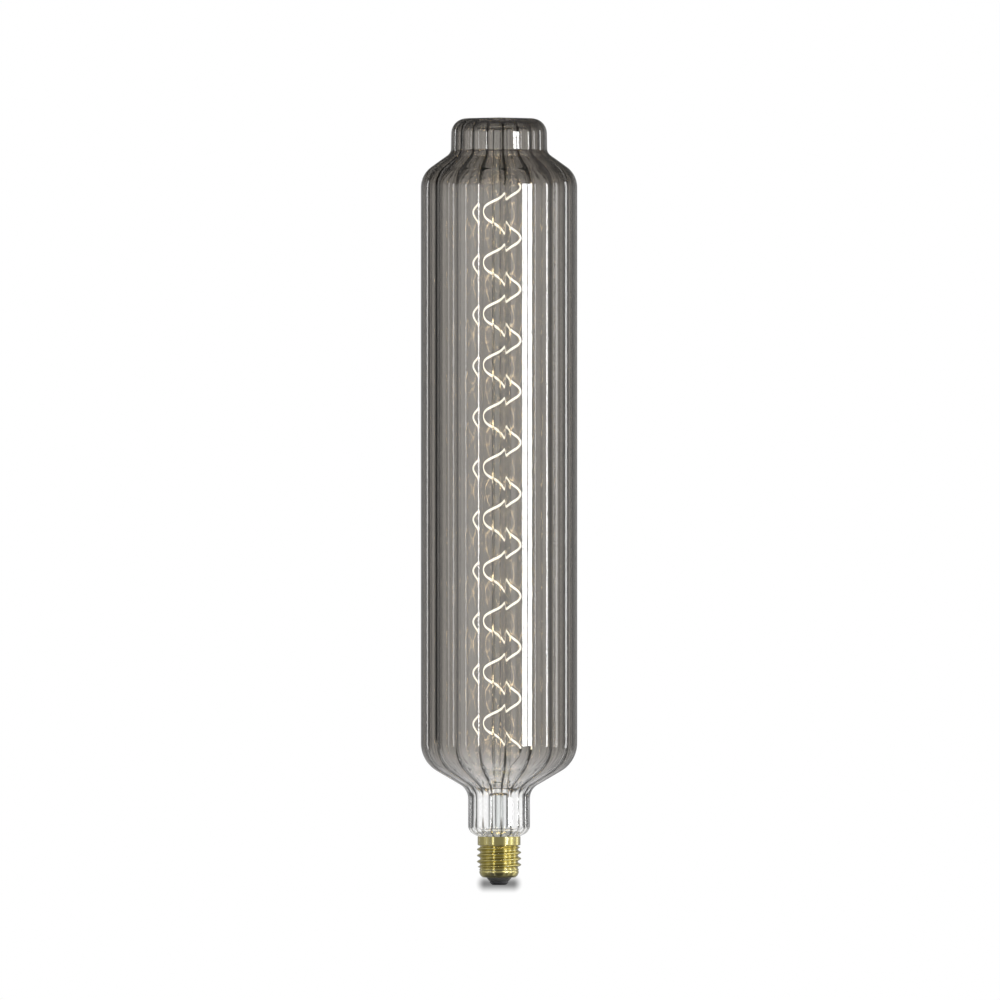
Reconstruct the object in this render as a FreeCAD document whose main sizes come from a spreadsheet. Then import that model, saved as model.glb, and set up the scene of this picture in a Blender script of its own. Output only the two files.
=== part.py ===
# Long LED filament lamp: a fluted smoked-glass bulb on a 27 mm screw cap.
#
# The lamp stands on its centre contact, cap down, with +Z along its axis. The origin is the middle of the
# centre contact's flat face. Lengths are millimetres and angles are degrees, turned about +Z from +X.

import FreeCAD, Part
import math
import os
import Sketcher
from types import SimpleNamespace

# Every size that can be set by itself: its name, its value and what it measures.
SIZES = [
    ("fit_gap", 0.05, "room between pieces that fit into each other"),
    ("weld_gap", 0.1, "room at a soldered or welded end"),
    ("contact_radius", 5.55, "centre contact, outside"),
    ("contact_flat_radius", 4.05, "flat face of the centre contact"),
    ("contact_slope", 1.3, "height of the slope round that face"),
    ("contact_height", 2.4, "centre contact, flat face to insulator"),
    ("spigot_radius", 1.6, "stem of the centre contact, through the insulator"),
    ("spigot_recess", 0.6, "stem of the contact, under the insulator's top"),
    ("insulator_face_radius", 5.9, "insulator's cone, where the contact sits"),
    ("insulator_neck_radius", 7.6, "insulator, in the shell's mouth"),
    ("insulator_cone", 2.05, "height of the insulator's cone"),
    ("insulator_radius", 9.0, "insulator's disc inside the shell"),
    ("insulator_disc", 2.4, "thickness of that disc"),
    ("shell_sheet", 0.3, "brass sheet of the screw shell"),
    ("foot_radius", 9.7, "edge of the shell's flat foot"),
    ("foot_curve_radius", 11.0, "halfway up the curve above the foot"),
    ("foot_curve_rise", 1.15, "halfway up the curve above the foot"),
    ("bead_radius", 11.75, "the two beads above the foot, outside"),
    ("bead_rise", 2.85, "foot to the lower bead"),
    ("bead_width", 0.7, "height of each bead"),
    ("groove_radius", 11.45, "groove between the beads"),
    ("groove_half", 0.45, "half the height of that groove"),
    ("thread_gap", 0.3, "upper bead to thread"),
    ("thread_length", 12.4, "threaded stretch"),
    ("thread_pitch", 3.629, "seven turns to the inch"),
    ("thread_root_radius", 11.9, "bottom of the thread"),
    ("thread_depth", 1.15, "root to crest"),
    ("thread_angle", 76.0, "where the crest stands at the thread's lower end"),
    ("thread_run_in", 0.35, "share of a turn in which the thread rises and dies out"),
    ("skirt_radius", 12.78, "plain skirt above the thread, outside"),
    ("skirt_rise", 0.7, "thread to skirt"),
    ("skirt_height", 5.8, "plain skirt"),
    ("cement_low_gap", 0.4, "collar's cut end to the cement"),
    ("cement_high_gap", 0.4, "cement to the shell's rim"),
    ("collar_radius", 11.95, "glass collar inside the cap, outside"),
    ("collar_height", 5.3, "glass collar"),
    ("collar_below_rim", 0.1, "top of the collar, under the shell's rim"),
    ("neck_radius", 18.4, "neck, outside"),
    ("neck_foot_rise", 3.0, "collar to the corner under the neck"),
    ("neck_length", 25.2, "corner to corner along the neck"),
    ("lower_shoulder_rise", 16.5, "neck to the corner under the body"),
    ("body_radius", 46.5, "straight body, outside"),
    ("body_length", 349.35, "corner to corner along the body"),
    ("upper_shoulder_rise", 12.75, "body to the corner under the crown"),
    ("crown_foot_radius", 28.7, "crown, outside, at its foot"),
    ("crown_radius", 28.3, "crown, outside, at its top"),
    ("crown_height", 20.3, "crown's foot to its top edge"),
    ("crown_dome", 0.9, "bulge of the crown's top"),
    ("neck_foot_round", 6.0, "rounding under the neck"),
    ("neck_top_round", 9.4, "hollow rounding above the neck"),
    ("lower_shoulder_round", 19.2, "rounding under the body"),
    ("upper_shoulder_round", 15.0, "rounding above the body"),
    ("crown_foot_round", 5.0, "hollow rounding under the crown"),
    ("crown_round", 9.0, "rounding of the crown's top"),
    ("crown_wall", 3.2, "glass of the crown, at the flutes' ridges"),
    ("body_wall", 3.8, "glass of the body and the shoulders, at the ridges"),
    ("neck_wall", 3.0, "glass of the neck, at the ridges"),
    ("collar_wall", 2.2, "glass of the collar"),
    ("collar_round", 3.0, "rounding inside, between neck and collar"),
    ("flute_count", 18, "flutes round the inside of the glass"),
    ("flute_depth", 1.0, "depth of a flute in the straight body"),
    ("flute_angle", -5.1, "where one ridge between two flutes stands"),
    ("flute_hub_radius", 8.0, "smooth middle of the crown, inside"),
    ("stem_radius", 6.2, "stem tube, outside"),
    ("stem_wall", 1.0, "glass of the stem tube"),
    ("stem_above_neck", 0.1, "closed end of the stem tube, above the neck's corner"),
    ("lip_radius", 11.1, "flared lip of the stem"),
    ("lip_thickness", 1.3, "thickness of that lip"),
    ("lip_bore", 8.2, "mouth of the flare"),
    ("flare_seat_gap", 0.4, "room between the flare and the collar's bore"),
    ("flare_height", 6.6, "collar's end to the straight tube"),
    ("pinch_height", 3.4, "where the tube is pinched flat"),
    ("press_height", 5.0, "flat press above the pinch"),
    ("press_width", 10.8, "press, the wide way"),
    ("press_thickness", 7.0, "press, the narrow way"),
    ("vent_rise", 1.8, "height of the vent in the press"),
    ("vent_radius", 0.9, "vent through which the lamp was filled"),
    ("exhaust_radius", 2.1, "exhaust tube, outside"),
    ("exhaust_bore", 1.3, "exhaust tube, inside"),
    ("exhaust_tip_rise", 1.2, "collar's end to the exhaust tube's melted tip"),
    ("exhaust_tip_height", 1.5, "glass in that tip"),
    ("tube_radius", 4.15, "centre tube, outside"),
    ("tube_bore", 3.35, "centre tube, inside"),
    ("tube_end_gap", 0.3, "room between the centre tube and the crown"),
    ("tube_dome", 2.0, "rounded end of the centre tube"),
    ("tube_exit_radius", 0.6, "side hole for the return wire"),
    ("coil_radius", 13.4, "filament's helix, to the middle of the strand"),
    ("coil_pitch", 30.43, "rise of the filament in one turn"),
    ("coil_low_inset", 6.6, "lower shoulder's corner to the filament's lower end"),
    ("coil_high_inset", 5.35, "filament's upper end to the upper shoulder's corner"),
    ("coil_angle", -8.0, "where the filament's lower end stands"),
    ("strand_radius", 0.85, "filament's strand"),
    ("clip_width", 2.2, "metal clip on the strand's end, outwards"),
    ("clip_height", 1.7, "metal clip, square to the strand"),
    ("clip_length", 3.0, "metal clip, along the strand"),
    ("lead_radius", 0.25, "lead wires"),
    ("lower_lead_offset", 4.6, "lower lead wire, from the axis"),
    ("lower_lead_rise", 1.5, "press to the bend where the lower lead wire leans out"),
    ("lower_lead_end", 2.2, "upright end of the lower lead wire under its clip"),
    ("return_offset", 2.8, "return lead wire, from the axis"),
    ("return_exit_rise", 7.0, "filament's upper end to the side hole"),
    ("wire_bend_radius", 1.0, "bends of the wires, to their middle"),
    ("board_width", 14.0, "driver board"),
    ("board_thickness", 1.0, "driver board"),
    ("board_height", 14.2, "driver board"),
    ("board_offset", 0.85, "board's middle plane, from the axis"),
    ("chips_offset", 3.8, "middle of the parts on the right of the board"),
    ("chip_rise", 1.9, "board's lower edge to the driver chip"),
    ("chip_width", 4.9, "driver chip"),
    ("chip_height", 3.9, "driver chip"),
    ("chip_thickness", 1.5, "driver chip"),
    ("rectifier_rise", 7.4, "board's lower edge to the bridge rectifier"),
    ("rectifier_width", 4.8, "bridge rectifier"),
    ("rectifier_height", 4.0, "bridge rectifier"),
    ("rectifier_thickness", 1.6, "bridge rectifier"),
    ("sense_rise", 12.1, "board's lower edge to the sense resistor"),
    ("sense_width", 3.2, "sense resistor"),
    ("sense_height", 1.6, "sense resistor"),
    ("sense_thickness", 0.6, "sense resistor"),
    ("diode_rise", 1.4, "board's lower edge to the freewheel diode"),
    ("diode_width", 4.3, "freewheel diode"),
    ("diode_height", 2.6, "freewheel diode"),
    ("diode_thickness", 2.2, "freewheel diode"),
    ("capacitor_radius", 2.5, "smoothing capacitor"),
    ("capacitor_height", 9.0, "smoothing capacitor"),
    ("capacitor_offset", 3.0, "smoothing capacitor, from the axis"),
    ("capacitor_rise", 2.3, "board's lower edge to the smoothing capacitor"),
    ("choke_radius", 2.9, "choke"),
    ("choke_height", 4.0, "choke, away from the board"),
    ("choke_rise", 8.1, "board's lower edge to the choke's middle"),
    ("fusible_radius", 1.1, "fusible resistor"),
    ("fusible_length", 6.0, "fusible resistor"),
    ("fusible_rise", 4.1, "board's lower edge to the fusible resistor"),
    ("fusible_offset", 4.6, "fusible resistor, from the axis"),
    ("cap_wire_radius", 0.3, "wires in the cap"),
    ("live_wire_rise", 1.1, "board's lower edge to the crossing of the live wire"),
    ("neutral_wire_rise", 10.2, "board's lower edge to the start of the neutral wire"),
    ("neutral_wire_bend", 9.4, "where the neutral wire climbs"),
    ("neutral_wire_climb", 3.2, "height of that climb"),
]

# The glass, the screw shell and the strands are built up from flats, to keep the model light. These say how
# closely the flats follow the curves.
ROUNDING_SAGITTA = 0.35
ROUNDING_TURN = 36.0
GLASS_SIDES = 48
FLATS_PER_FLUTE = 3
SHELL_SIDES = 24
THREAD_RINGS_PER_TURN = 6
COIL_RINGS_PER_TURN = 14
STRAND_SIDES = 6

doc = FreeCAD.newDocument("filament_lamp")
pieces = []


class Size:
    """A length or an angle: its number, and the formula that ties a feature to the sheet's cells."""

    def __init__(self, formula, number):
        self.formula = formula
        self.number = number

    def joined(self, sign, other, number):
        formula = other.formula if isinstance(other, Size) else str(other)
        return Size("(" + self.formula + " " + sign + " " + formula + ")", number)

    def __add__(self, other):
        return self.joined("+", other, self.number + plain(other))

    def __sub__(self, other):
        return self.joined("-", other, self.number - plain(other))

    def __mul__(self, other):
        return self.joined("*", other, self.number * plain(other))

    def __truediv__(self, other):
        return self.joined("/", other, self.number / plain(other))

    def __neg__(self):
        return Size("(-1 * " + self.formula + ")", -self.number)


def plain(value):
    return value.number if isinstance(value, Size) else value


def across_at(offset, angle):
    """The X of a point at an offset from the axis and at an angle about it."""
    formula = offset.formula + " * cos(" + angle.formula + ")"
    return Size(formula, offset.number * math.cos(math.radians(angle.number)))


def deep_at(offset, angle):
    """The Y of that point."""
    formula = offset.formula + " * sin(" + angle.formula + ")"
    return Size(formula, offset.number * math.sin(math.radians(angle.number)))


def read_sheet():
    """Fill the sheet and hand back each of its cells as a Size."""
    sheet = doc.addObject("Spreadsheet::Sheet", "Sizes")
    for row, (alias, value, note) in enumerate(SIZES, start=1):
        sheet.set("A%d" % row, alias)
        sheet.set("B%d" % row, str(value))
        sheet.setAlias("B%d" % row, alias)
        sheet.set("C%d" % row, note)
    doc.recompute()
    cells = {}
    for alias, value, note in SIZES:
        cells[alias] = Size("Sizes." + alias, float(sheet.get(alias)))
    return SimpleNamespace(**cells)


s = read_sheet()
ORIGIN = Size("0", 0.0)

# Heights of the cap, from the centre contact up.
shell_foot = s.contact_height + s.insulator_cone
insulator_seat = shell_foot + s.shell_sheet + s.fit_gap
insulator_top = insulator_seat + s.insulator_disc
spigot_top = insulator_top - s.spigot_recess
bead_low = shell_foot + s.bead_rise
groove = bead_low + s.bead_width + s.groove_half
bead_high = groove + s.groove_half
thread_start = bead_high + s.bead_width + s.thread_gap
thread_end = thread_start + s.thread_length
skirt_start = thread_end + s.skirt_rise
rim = skirt_start + s.skirt_height
skirt_bore = s.skirt_radius - s.shell_sheet
thread_bore = s.thread_root_radius - s.shell_sheet

# Heights of the glass, from the collar up.
collar_top = rim - s.collar_below_rim
collar_end = collar_top - s.collar_height
neck_foot = collar_top + s.neck_foot_rise
neck_top = neck_foot + s.neck_length
lower_shoulder = neck_top + s.lower_shoulder_rise
upper_shoulder = lower_shoulder + s.body_length
crown_foot = upper_shoulder + s.upper_shoulder_rise
crown_edge = crown_foot + s.crown_height
crown_top = crown_edge + s.crown_dome
collar_bore = s.collar_radius - s.collar_wall

# Places on the glass mount and the filament.
stem_roof = neck_top + s.stem_above_neck
stem_ceiling = stem_roof - s.stem_wall
stem_bore = s.stem_radius - s.stem_wall
pinch_top = stem_roof + s.pinch_height
press_top = pinch_top + s.press_height
tube_top = crown_top - s.crown_wall - s.tube_end_gap
coil_bottom = lower_shoulder + s.coil_low_inset
coil_top = upper_shoulder - s.coil_high_inset
coil_top_angle = s.coil_angle + (coil_top - coil_bottom) / s.coil_pitch * 360
clip_turn = (s.clip_length / 2 + s.fit_gap) / s.coil_radius * math.degrees(1)
lower_lead_angle = s.coil_angle - clip_turn
return_angle = coil_top_angle + clip_turn
return_exit = coil_top + s.return_exit_rise

# Places on the driver board.
board_bottom = insulator_top + s.weld_gap
board_front = -s.board_offset - s.board_thickness / 2
board_back = -s.board_offset + s.board_thickness / 2
fusible_depth = board_back + s.fit_gap + s.fusible_radius
leads_start = board_bottom + s.board_height + s.weld_gap


def at(across, up):
    """A point of a profile in the upright plane through the axis."""
    return FreeCAD.Vector(plain(across), 0, plain(up))


def turned(point, angle):
    """A point turned about the axis by an angle in degrees."""
    return FreeCAD.Rotation(FreeCAD.Vector(0, 0, 1), angle).multVec(point)


def keep(piece, name):
    """Name a finished piece and put it on the list."""
    piece.Label = name
    pieces.append(piece)


def bind(thing, path, value):
    thing.setExpression(path, value.formula)


def turn_about_axis(piece, angle):
    """Turn a whole piece about the lamp's axis, tied to the sheet."""
    rotation = FreeCAD.Rotation(FreeCAD.Vector(0, 0, 1), angle.number)
    piece.Placement = FreeCAD.Placement(FreeCAD.Vector(), rotation)
    bind(piece, "Placement.Rotation.Angle", angle)


# Sketched bodies

def new_sketch(body, name, role="XZ_Plane", lift=None):
    """A sketch on one of the body's own origin planes, lifted off it where that is asked for."""
    sketch = body.newObject("Sketcher::SketchObject", name)
    plane = [feature for feature in body.Origin.OriginFeatures if feature.Role == role][0]
    sketch.AttachmentSupport = [(plane, "")]
    sketch.MapMode = "FlatFace"
    if lift:
        bind(sketch, "AttachmentOffset.Base.z", lift)
    return sketch


def tie(sketch, kind, place, value):
    """Hold one point of a sketch at a distance from the origin, along X or along Y."""
    geometry, corner = place
    if value is ORIGIN:
        axis = {"DistanceX": -2, "DistanceY": -1}[kind]
        sketch.addConstraint(Sketcher.Constraint("PointOnObject", geometry, corner, axis))
        return
    index = sketch.addConstraint(Sketcher.Constraint(kind, -1, 1, geometry, corner, value.number))
    sketch.setExpression("Constraints[%d]" % index, value.formula)


def draw_outline(sketch, corners):
    """A closed outline of straight lines, with each corner tied to the sheet."""
    points = [FreeCAD.Vector(across.number, up.number, 0) for across, up in corners]
    count = len(points)
    for index in range(count):
        sketch.addGeometry(Part.LineSegment(points[index], points[(index + 1) % count]), False)
    for index in range(count):
        sketch.addConstraint(Sketcher.Constraint("Coincident", index, 2, (index + 1) % count, 1))
    for index, (across, up) in enumerate(corners):
        tie(sketch, "DistanceX", (index, 1), across)
        tie(sketch, "DistanceY", (index, 1), up)


def draw_circle(sketch, across, up, radius):
    """A circle, with its middle and its radius tied to the sheet."""
    middle = FreeCAD.Vector(across.number, up.number, 0)
    geometry = sketch.addGeometry(Part.Circle(middle, FreeCAD.Vector(0, 0, 1), radius.number), False)
    tie(sketch, "DistanceX", (geometry, 3), across)
    tie(sketch, "DistanceY", (geometry, 3), up)
    index = sketch.addConstraint(Sketcher.Constraint("Radius", geometry, radius.number))
    sketch.setExpression("Constraints[%d]" % index, radius.formula)


def turn_profile(body, kind, name, corners):
    """Add an outline turned about the lamp's axis to a body, or cut it out of the body."""
    sketch = new_sketch(body, name + "_profile")
    draw_outline(sketch, corners)
    feature = body.newObject(kind, name)
    feature.Profile = sketch
    feature.ReferenceAxis = (sketch, ["V_Axis"])
    feature.Angle = 360
    body.Tip = feature
    doc.recompute()


def turned_body(name, corners):
    """A body of revolution about the lamp's axis."""
    body = doc.addObject("PartDesign::Body", name)
    turn_profile(body, "PartDesign::Revolution", name + "_turned", corners)
    return body


def bore(body, name, plane, across, up, radius, turn=None):
    """A round hole through a body. It runs upwards from the XY plane, both ways from the XZ plane, and
    outwards from the YZ plane, which can be turned about the lamp's axis first."""
    volume = body.Tip.Shape.Volume
    sketch = new_sketch(body, name + "_circle", plane)
    if turn:
        swing = FreeCAD.Rotation(FreeCAD.Vector(0, 1, 0), turn.number)
        sketch.AttachmentOffset = FreeCAD.Placement(FreeCAD.Vector(), swing)
        bind(sketch, "AttachmentOffset.Rotation.Angle", turn)
    draw_circle(sketch, across, up, radius)
    pocket = body.newObject("PartDesign::Pocket", name)
    pocket.Profile = sketch
    pocket.Type = "ThroughAll"
    pocket.Midplane = plane == "XZ_Plane"
    pocket.Reversed = plane != "XZ_Plane"
    body.Tip = pocket
    doc.recompute()
    if body.Shape.Volume > volume - 1e-3:
        raise RuntimeError(name + " cuts nothing")


# Shapes built up from flats

def shaped(name, shape):
    """A piece whose shape is worked out from the sizes above."""
    feature = doc.addObject("Part::Feature", name)
    feature.Shape = shape
    return feature


def cut_away(name, blank, tool):
    """A piece that is one solid with another taken out of it."""
    piece = doc.addObject("Part::Cut", name)
    piece.Base = blank
    piece.Tool = tool
    doc.recompute()
    keep(piece, name)


def level_ring(radius, height, sides, offset=0.0, angle=0.0):
    """The corners of a level ring of flats round the lamp's axis, or set off it towards an angle."""
    middle = turned(at(offset, height), angle)
    return [middle + turned(at(radius, 0), index * 360.0 / sides) for index in range(sides)]


def flat_face(*corners):
    return Part.Face(Part.makePolygon(list(corners) + [corners[0]]))


def skinned(rings):
    """A solid with flats between each ring of corners and the next, closed by a face at both ends."""
    faces = [flat_face(*rings[0]), flat_face(*rings[-1])]
    for ring, above in zip(rings, rings[1:]):
        for index in range(len(ring)):
            low, low_next = ring[index - 1], ring[index]
            high, high_next = above[index - 1], above[index]
            square = (low_next - low).cross(high - low)
            if abs(square.dot(high_next - low)) < 1e-6:
                faces.append(flat_face(low, low_next, high_next, high))
            else:
                faces.append(flat_face(low, low_next, high_next))
                faces.append(flat_face(low, high_next, high))
    skin = Part.makeCompound(faces)
    skin.sewShape()
    solid = Part.Solid(skin.Shells[0])
    if solid.Volume < 0:
        solid.reverse()
    return solid


def corner_arc(before, corner, after, radius):
    """Start, middle and end of the arc that rounds one corner off."""
    back = (before - corner).normalize()
    ahead = (after - corner).normalize()
    half = back.getAngle(ahead) / 2
    inwards = (back + ahead).normalize()
    centre = corner + inwards * (radius / math.sin(half))
    reach = radius / math.tan(half)
    return (corner + back * reach, centre - inwards * radius, corner + ahead * reach)


def rounded_runs(corners, rounds):
    """Straight runs and arcs along a row of corners."""
    runs = []
    last = corners[0]
    for index, radius in enumerate(rounds, start=1):
        arc = corner_arc(corners[index - 1], corners[index], corners[index + 1], radius)
        runs.append((last, arc[0]))
        runs.append(arc)
        last = arc[2]
    runs.append((last, corners[-1]))
    return runs


def stations(run):
    """Points along a run, how far along it each is, and the way out of the lamp there. A straight run has
    its two ends only, and an arc has as many points as it takes to stay near it."""
    edge = (Part.LineSegment(*run) if len(run) == 2 else Part.Arc(*run)).toShape()
    first, last = edge.ParameterRange
    count = 1
    if len(run) == 3:
        step = 2 * math.acos(1 - ROUNDING_SAGITTA / max(edge.Curve.Radius, ROUNDING_SAGITTA))
        count = math.ceil((last - first) / min(step, math.radians(ROUNDING_TURN)))
    for index in range(count + 1):
        share = index / count
        where = first + (last - first) * share
        yield share, edge.valueAt(where), side_normal(edge.tangentAt(where))


def side_normal(along):
    """The direction square to a run and out of the lamp, for a run that goes down or outwards."""
    return FreeCAD.Vector(-along.z, 0, along.x)


def inset(corners, walls):
    """The row of corners that lies one wall inside another row. Each straight run has its own wall."""
    moved = []
    for start, end, wall in zip(corners, corners[1:], walls):
        along = (end - start).normalize()
        shift = side_normal(along) * -wall
        moved.append((start + shift, along))
    inside = [moved[0][0]]
    for (point, along), (next_point, next_along) in zip(moved, moved[1:]):
        gap = next_point - point
        scale = along.z * next_along.x - along.x * next_along.z
        reach = (gap.z * next_along.x - gap.x * next_along.z) / scale
        inside.append(point + along * reach)
    inside.append(corners[-1] + side_normal(moved[-1][1]) * -walls[-1])
    return inside


def small_ring(middle, across, upwards, radius):
    """A ring of flats round one point of a wire or a strand, in the plane of two directions."""
    corners = []
    for index in range(STRAND_SIDES):
        turn = 2 * math.pi * index / STRAND_SIDES
        corners.append(middle + across * (radius * math.cos(turn)) + upwards * (radius * math.sin(turn)))
    return Part.makePolygon(corners + [corners[0]])


def bent_wire(name, corners, radius, angle):
    """A wire in an upright plane through the axis, turned to its place."""
    rings = []
    for run in rounded_runs(corners, [s.wire_bend_radius.number] * (len(corners) - 2)):
        for share, point, outwards in stations(run):
            if share or not rings:
                rings.append(small_ring(point, outwards, FreeCAD.Vector(0, 1, 0), radius.number))
    wire = shaped(name, Part.makeLoft(rings, True, True))
    turn_about_axis(wire, angle)
    keep(wire, name)


# The glass

OUTSIDE = [
    (s.crown_radius, crown_edge, s.crown_round),
    (s.crown_foot_radius, crown_foot, s.crown_foot_round),
    (s.body_radius, upper_shoulder, s.upper_shoulder_round),
    (s.body_radius, lower_shoulder, s.lower_shoulder_round),
    (s.neck_radius, neck_top, s.neck_top_round),
    (s.neck_radius, neck_foot, s.neck_foot_round),
]


def outside_corners():
    """The outer corners of the glass, from the crown's middle down to the collar's foot."""
    corners = [at(0, crown_top)]
    corners += [at(radius, height) for radius, height, rounding in OUTSIDE]
    return corners + [at(s.collar_radius, collar_top), at(s.collar_radius, collar_end)]


def glass_blank():
    """The outer form of the glass as one solid."""
    corners = outside_corners()
    outline = [corners[0] + at(s.flute_hub_radius, 0)]
    for run in rounded_runs(corners[:-1], [rounding.number for radius, height, rounding in OUTSIDE]):
        outline += [point for share, point, outwards in stations(run) if share]
    outline.append(corners[-1])
    return shaped("glass_blank", skinned([level_ring(point.x, point.z, GLASS_SIDES) for point in outline]))


def fluted_ring(point, outwards, depth):
    """The corners of one ring round the inside of the glass, hollowed out between every two ridges."""
    count = int(s.flute_count.number) * FLATS_PER_FLUTE
    corners = []
    for index in range(count):
        share = index % FLATS_PER_FLUTE / FLATS_PER_FLUTE
        hollow = depth * 4 * share * (1 - share)
        corners.append(turned(point + outwards * hollow, s.flute_angle.number + index * 360.0 / count))
    return corners


def cavity_runs():
    """The inside profile of the glass, along the ridges, from the crown's smooth middle to the collar."""
    crown = s.crown_wall.number
    body = s.body_wall.number
    neck = s.neck_wall.number
    ridges = inset(outside_corners(), [crown, crown, body, body, body, neck, neck, s.collar_wall.number])
    ridges[0] = ridges[1] + (ridges[0] - ridges[1]) * (1 - s.flute_hub_radius.number / ridges[1].x)
    ridges[-1] = at(ridges[-1].x, ridges[-1].z - s.collar_wall.number)
    return rounded_runs(ridges, [
        s.crown_round.number - crown,
        s.crown_foot_round.number + crown,
        s.upper_shoulder_round.number - body,
        s.lower_shoulder_round.number - body,
        s.neck_top_round.number + neck,
        s.neck_foot_round.number - neck,
        s.collar_round.number,
    ])


def glass_cavity():
    """The space inside the glass. Its flutes die out at the middle of the crown and at the collar."""
    runs = cavity_runs()
    ridge_radius = s.body_radius.number - s.body_wall.number
    fading_in = 0
    fading_out = len(runs) - 3
    rings = []
    for index, run in enumerate(runs):
        for share, point, outwards in stations(run):
            strength = 1.0
            if index == fading_in:
                strength = share
            if index == fading_out:
                strength = 1 - share
            if index > fading_out:
                strength = 0.0
            if share or not rings:
                depth = s.flute_depth.number * point.x / ridge_radius * strength
                rings.append(fluted_ring(point, outwards, depth))
    return shaped("glass_cavity", skinned(rings))


def make_glass_envelope():
    cut_away("glass_envelope", glass_blank(), glass_cavity())


def make_glass_mount():
    """Flare, press, exhaust tube and centre tube, melted together into one piece of glass."""
    exhaust_tip = collar_end + s.exhaust_tip_rise
    vent_height = pinch_top + s.vent_rise
    mount = turned_body("glass_mount", [
        (ORIGIN, stem_roof),
        (s.stem_radius, stem_roof),
        (s.stem_radius, collar_end + s.flare_height),
        (collar_bore - s.flare_seat_gap, collar_end),
        (s.lip_radius, collar_end),
        (s.lip_radius, collar_end - s.lip_thickness),
        (s.lip_bore, collar_end - s.lip_thickness),
        (stem_bore, collar_end + s.flare_height - s.stem_wall / 2),
        (stem_bore, stem_ceiling),
        (s.exhaust_radius, stem_ceiling),
        (s.exhaust_radius, exhaust_tip),
        (ORIGIN, exhaust_tip),
    ])
    add_press(mount)
    wire_hole = s.lead_radius + s.fit_gap
    for name, offset, angle in (
        ("lower_lead_hole", s.lower_lead_offset, lower_lead_angle),
        ("return_lead_hole", -s.return_offset, return_angle),
    ):
        bore(mount, name, "XY_Plane", across_at(offset, angle), deep_at(offset, angle), wire_hole)
    turn_profile(mount, "PartDesign::Groove", "exhaust_bore", [
        (ORIGIN, exhaust_tip + s.exhaust_tip_height),
        (s.exhaust_bore, exhaust_tip + s.exhaust_tip_height),
        (s.exhaust_bore, vent_height),
        (ORIGIN, vent_height),
    ])
    bore(mount, "vent", "XZ_Plane", ORIGIN, vent_height, s.vent_radius)
    turn_profile(mount, "PartDesign::Revolution", "centre_tube", [
        (ORIGIN, press_top),
        (s.tube_radius, press_top),
        (s.tube_radius, tube_top - s.tube_dome),
        (s.tube_radius / 2, tube_top),
        (ORIGIN, tube_top),
    ])
    turn_profile(mount, "PartDesign::Groove", "centre_tube_bore", [
        (ORIGIN, press_top),
        (s.tube_bore, press_top),
        (s.tube_bore, tube_top - s.tube_dome),
        (ORIGIN, tube_top - s.tube_dome),
    ])
    bore(mount, "side_hole", "YZ_Plane", ORIGIN, return_exit, s.tube_exit_radius, return_angle)
    keep(mount, "glass_mount")


def add_press(mount):
    """The end of the stem tube, pinched flat round the lead wires."""
    round_end = new_sketch(mount, "press_round_end", "XY_Plane", stem_roof)
    draw_circle(round_end, ORIGIN, ORIGIN, s.stem_radius)
    flat_end = new_sketch(mount, "press_flat_end", "XY_Plane", pinch_top)
    half_width = s.press_width / 2
    half_thickness = s.press_thickness / 2
    draw_outline(flat_end, [
        (half_width, half_thickness),
        (-half_width, half_thickness),
        (-half_width, -half_thickness),
        (half_width, -half_thickness),
    ])
    pinch = mount.newObject("PartDesign::AdditiveLoft", "press_pinch")
    pinch.Profile = round_end
    pinch.Sections = [flat_end]
    mount.Tip = pinch
    doc.recompute()
    press = mount.newObject("PartDesign::Pad", "press")
    press.Profile = flat_end
    bind(press, "Length", s.press_height)
    mount.Tip = press
    doc.recompute()


# The filament and its wires

coil_slope = math.atan(s.coil_pitch.number / (2 * math.pi * s.coil_radius.number))


def coil_frame(height, angle):
    """The middle of the strand at a place on the helix, and the directions outwards and along it."""
    outwards = turned(at(1, 0), angle)
    along = turned(FreeCAD.Vector(0, math.cos(coil_slope), math.sin(coil_slope)), angle)
    return turned(at(s.coil_radius, height), angle), outwards, along


def make_filament():
    """One flexible strand, wound as a right-handed helix about the lamp's axis."""
    rise = coil_top.number - coil_bottom.number
    turns = rise / s.coil_pitch.number
    count = math.ceil(turns * COIL_RINGS_PER_TURN)
    rings = []
    for index in range(count + 1):
        share = index / count
        angle = s.coil_angle.number + share * turns * 360
        middle, outwards, along = coil_frame(coil_bottom.number + share * rise, angle)
        rings.append(small_ring(middle, outwards, outwards.cross(along), s.strand_radius.number))
    keep(shaped("filament", Part.makeLoft(rings, True, True)), "filament")


def make_clip(name, height, angle, way):
    """A metal clip in line with the strand, at its lower end (way -1) or its upper end (way 1)."""
    clip = doc.addObject("Part::Box", name)
    bind(clip, "Length", s.clip_width)
    bind(clip, "Width", s.clip_length)
    bind(clip, "Height", s.clip_height)
    middle, outwards, along = coil_frame(height.number, angle.number)
    upwards = outwards.cross(along)
    start = s.fit_gap.number if way > 0 else -s.fit_gap.number - s.clip_length.number
    corner = middle + along * start
    corner -= outwards * (s.clip_width.number / 2) + upwards * (s.clip_height.number / 2)
    clip.Placement = FreeCAD.Placement(corner, FreeCAD.Rotation(outwards, along, upwards, "XYZ"))
    keep(clip, name)


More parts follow.
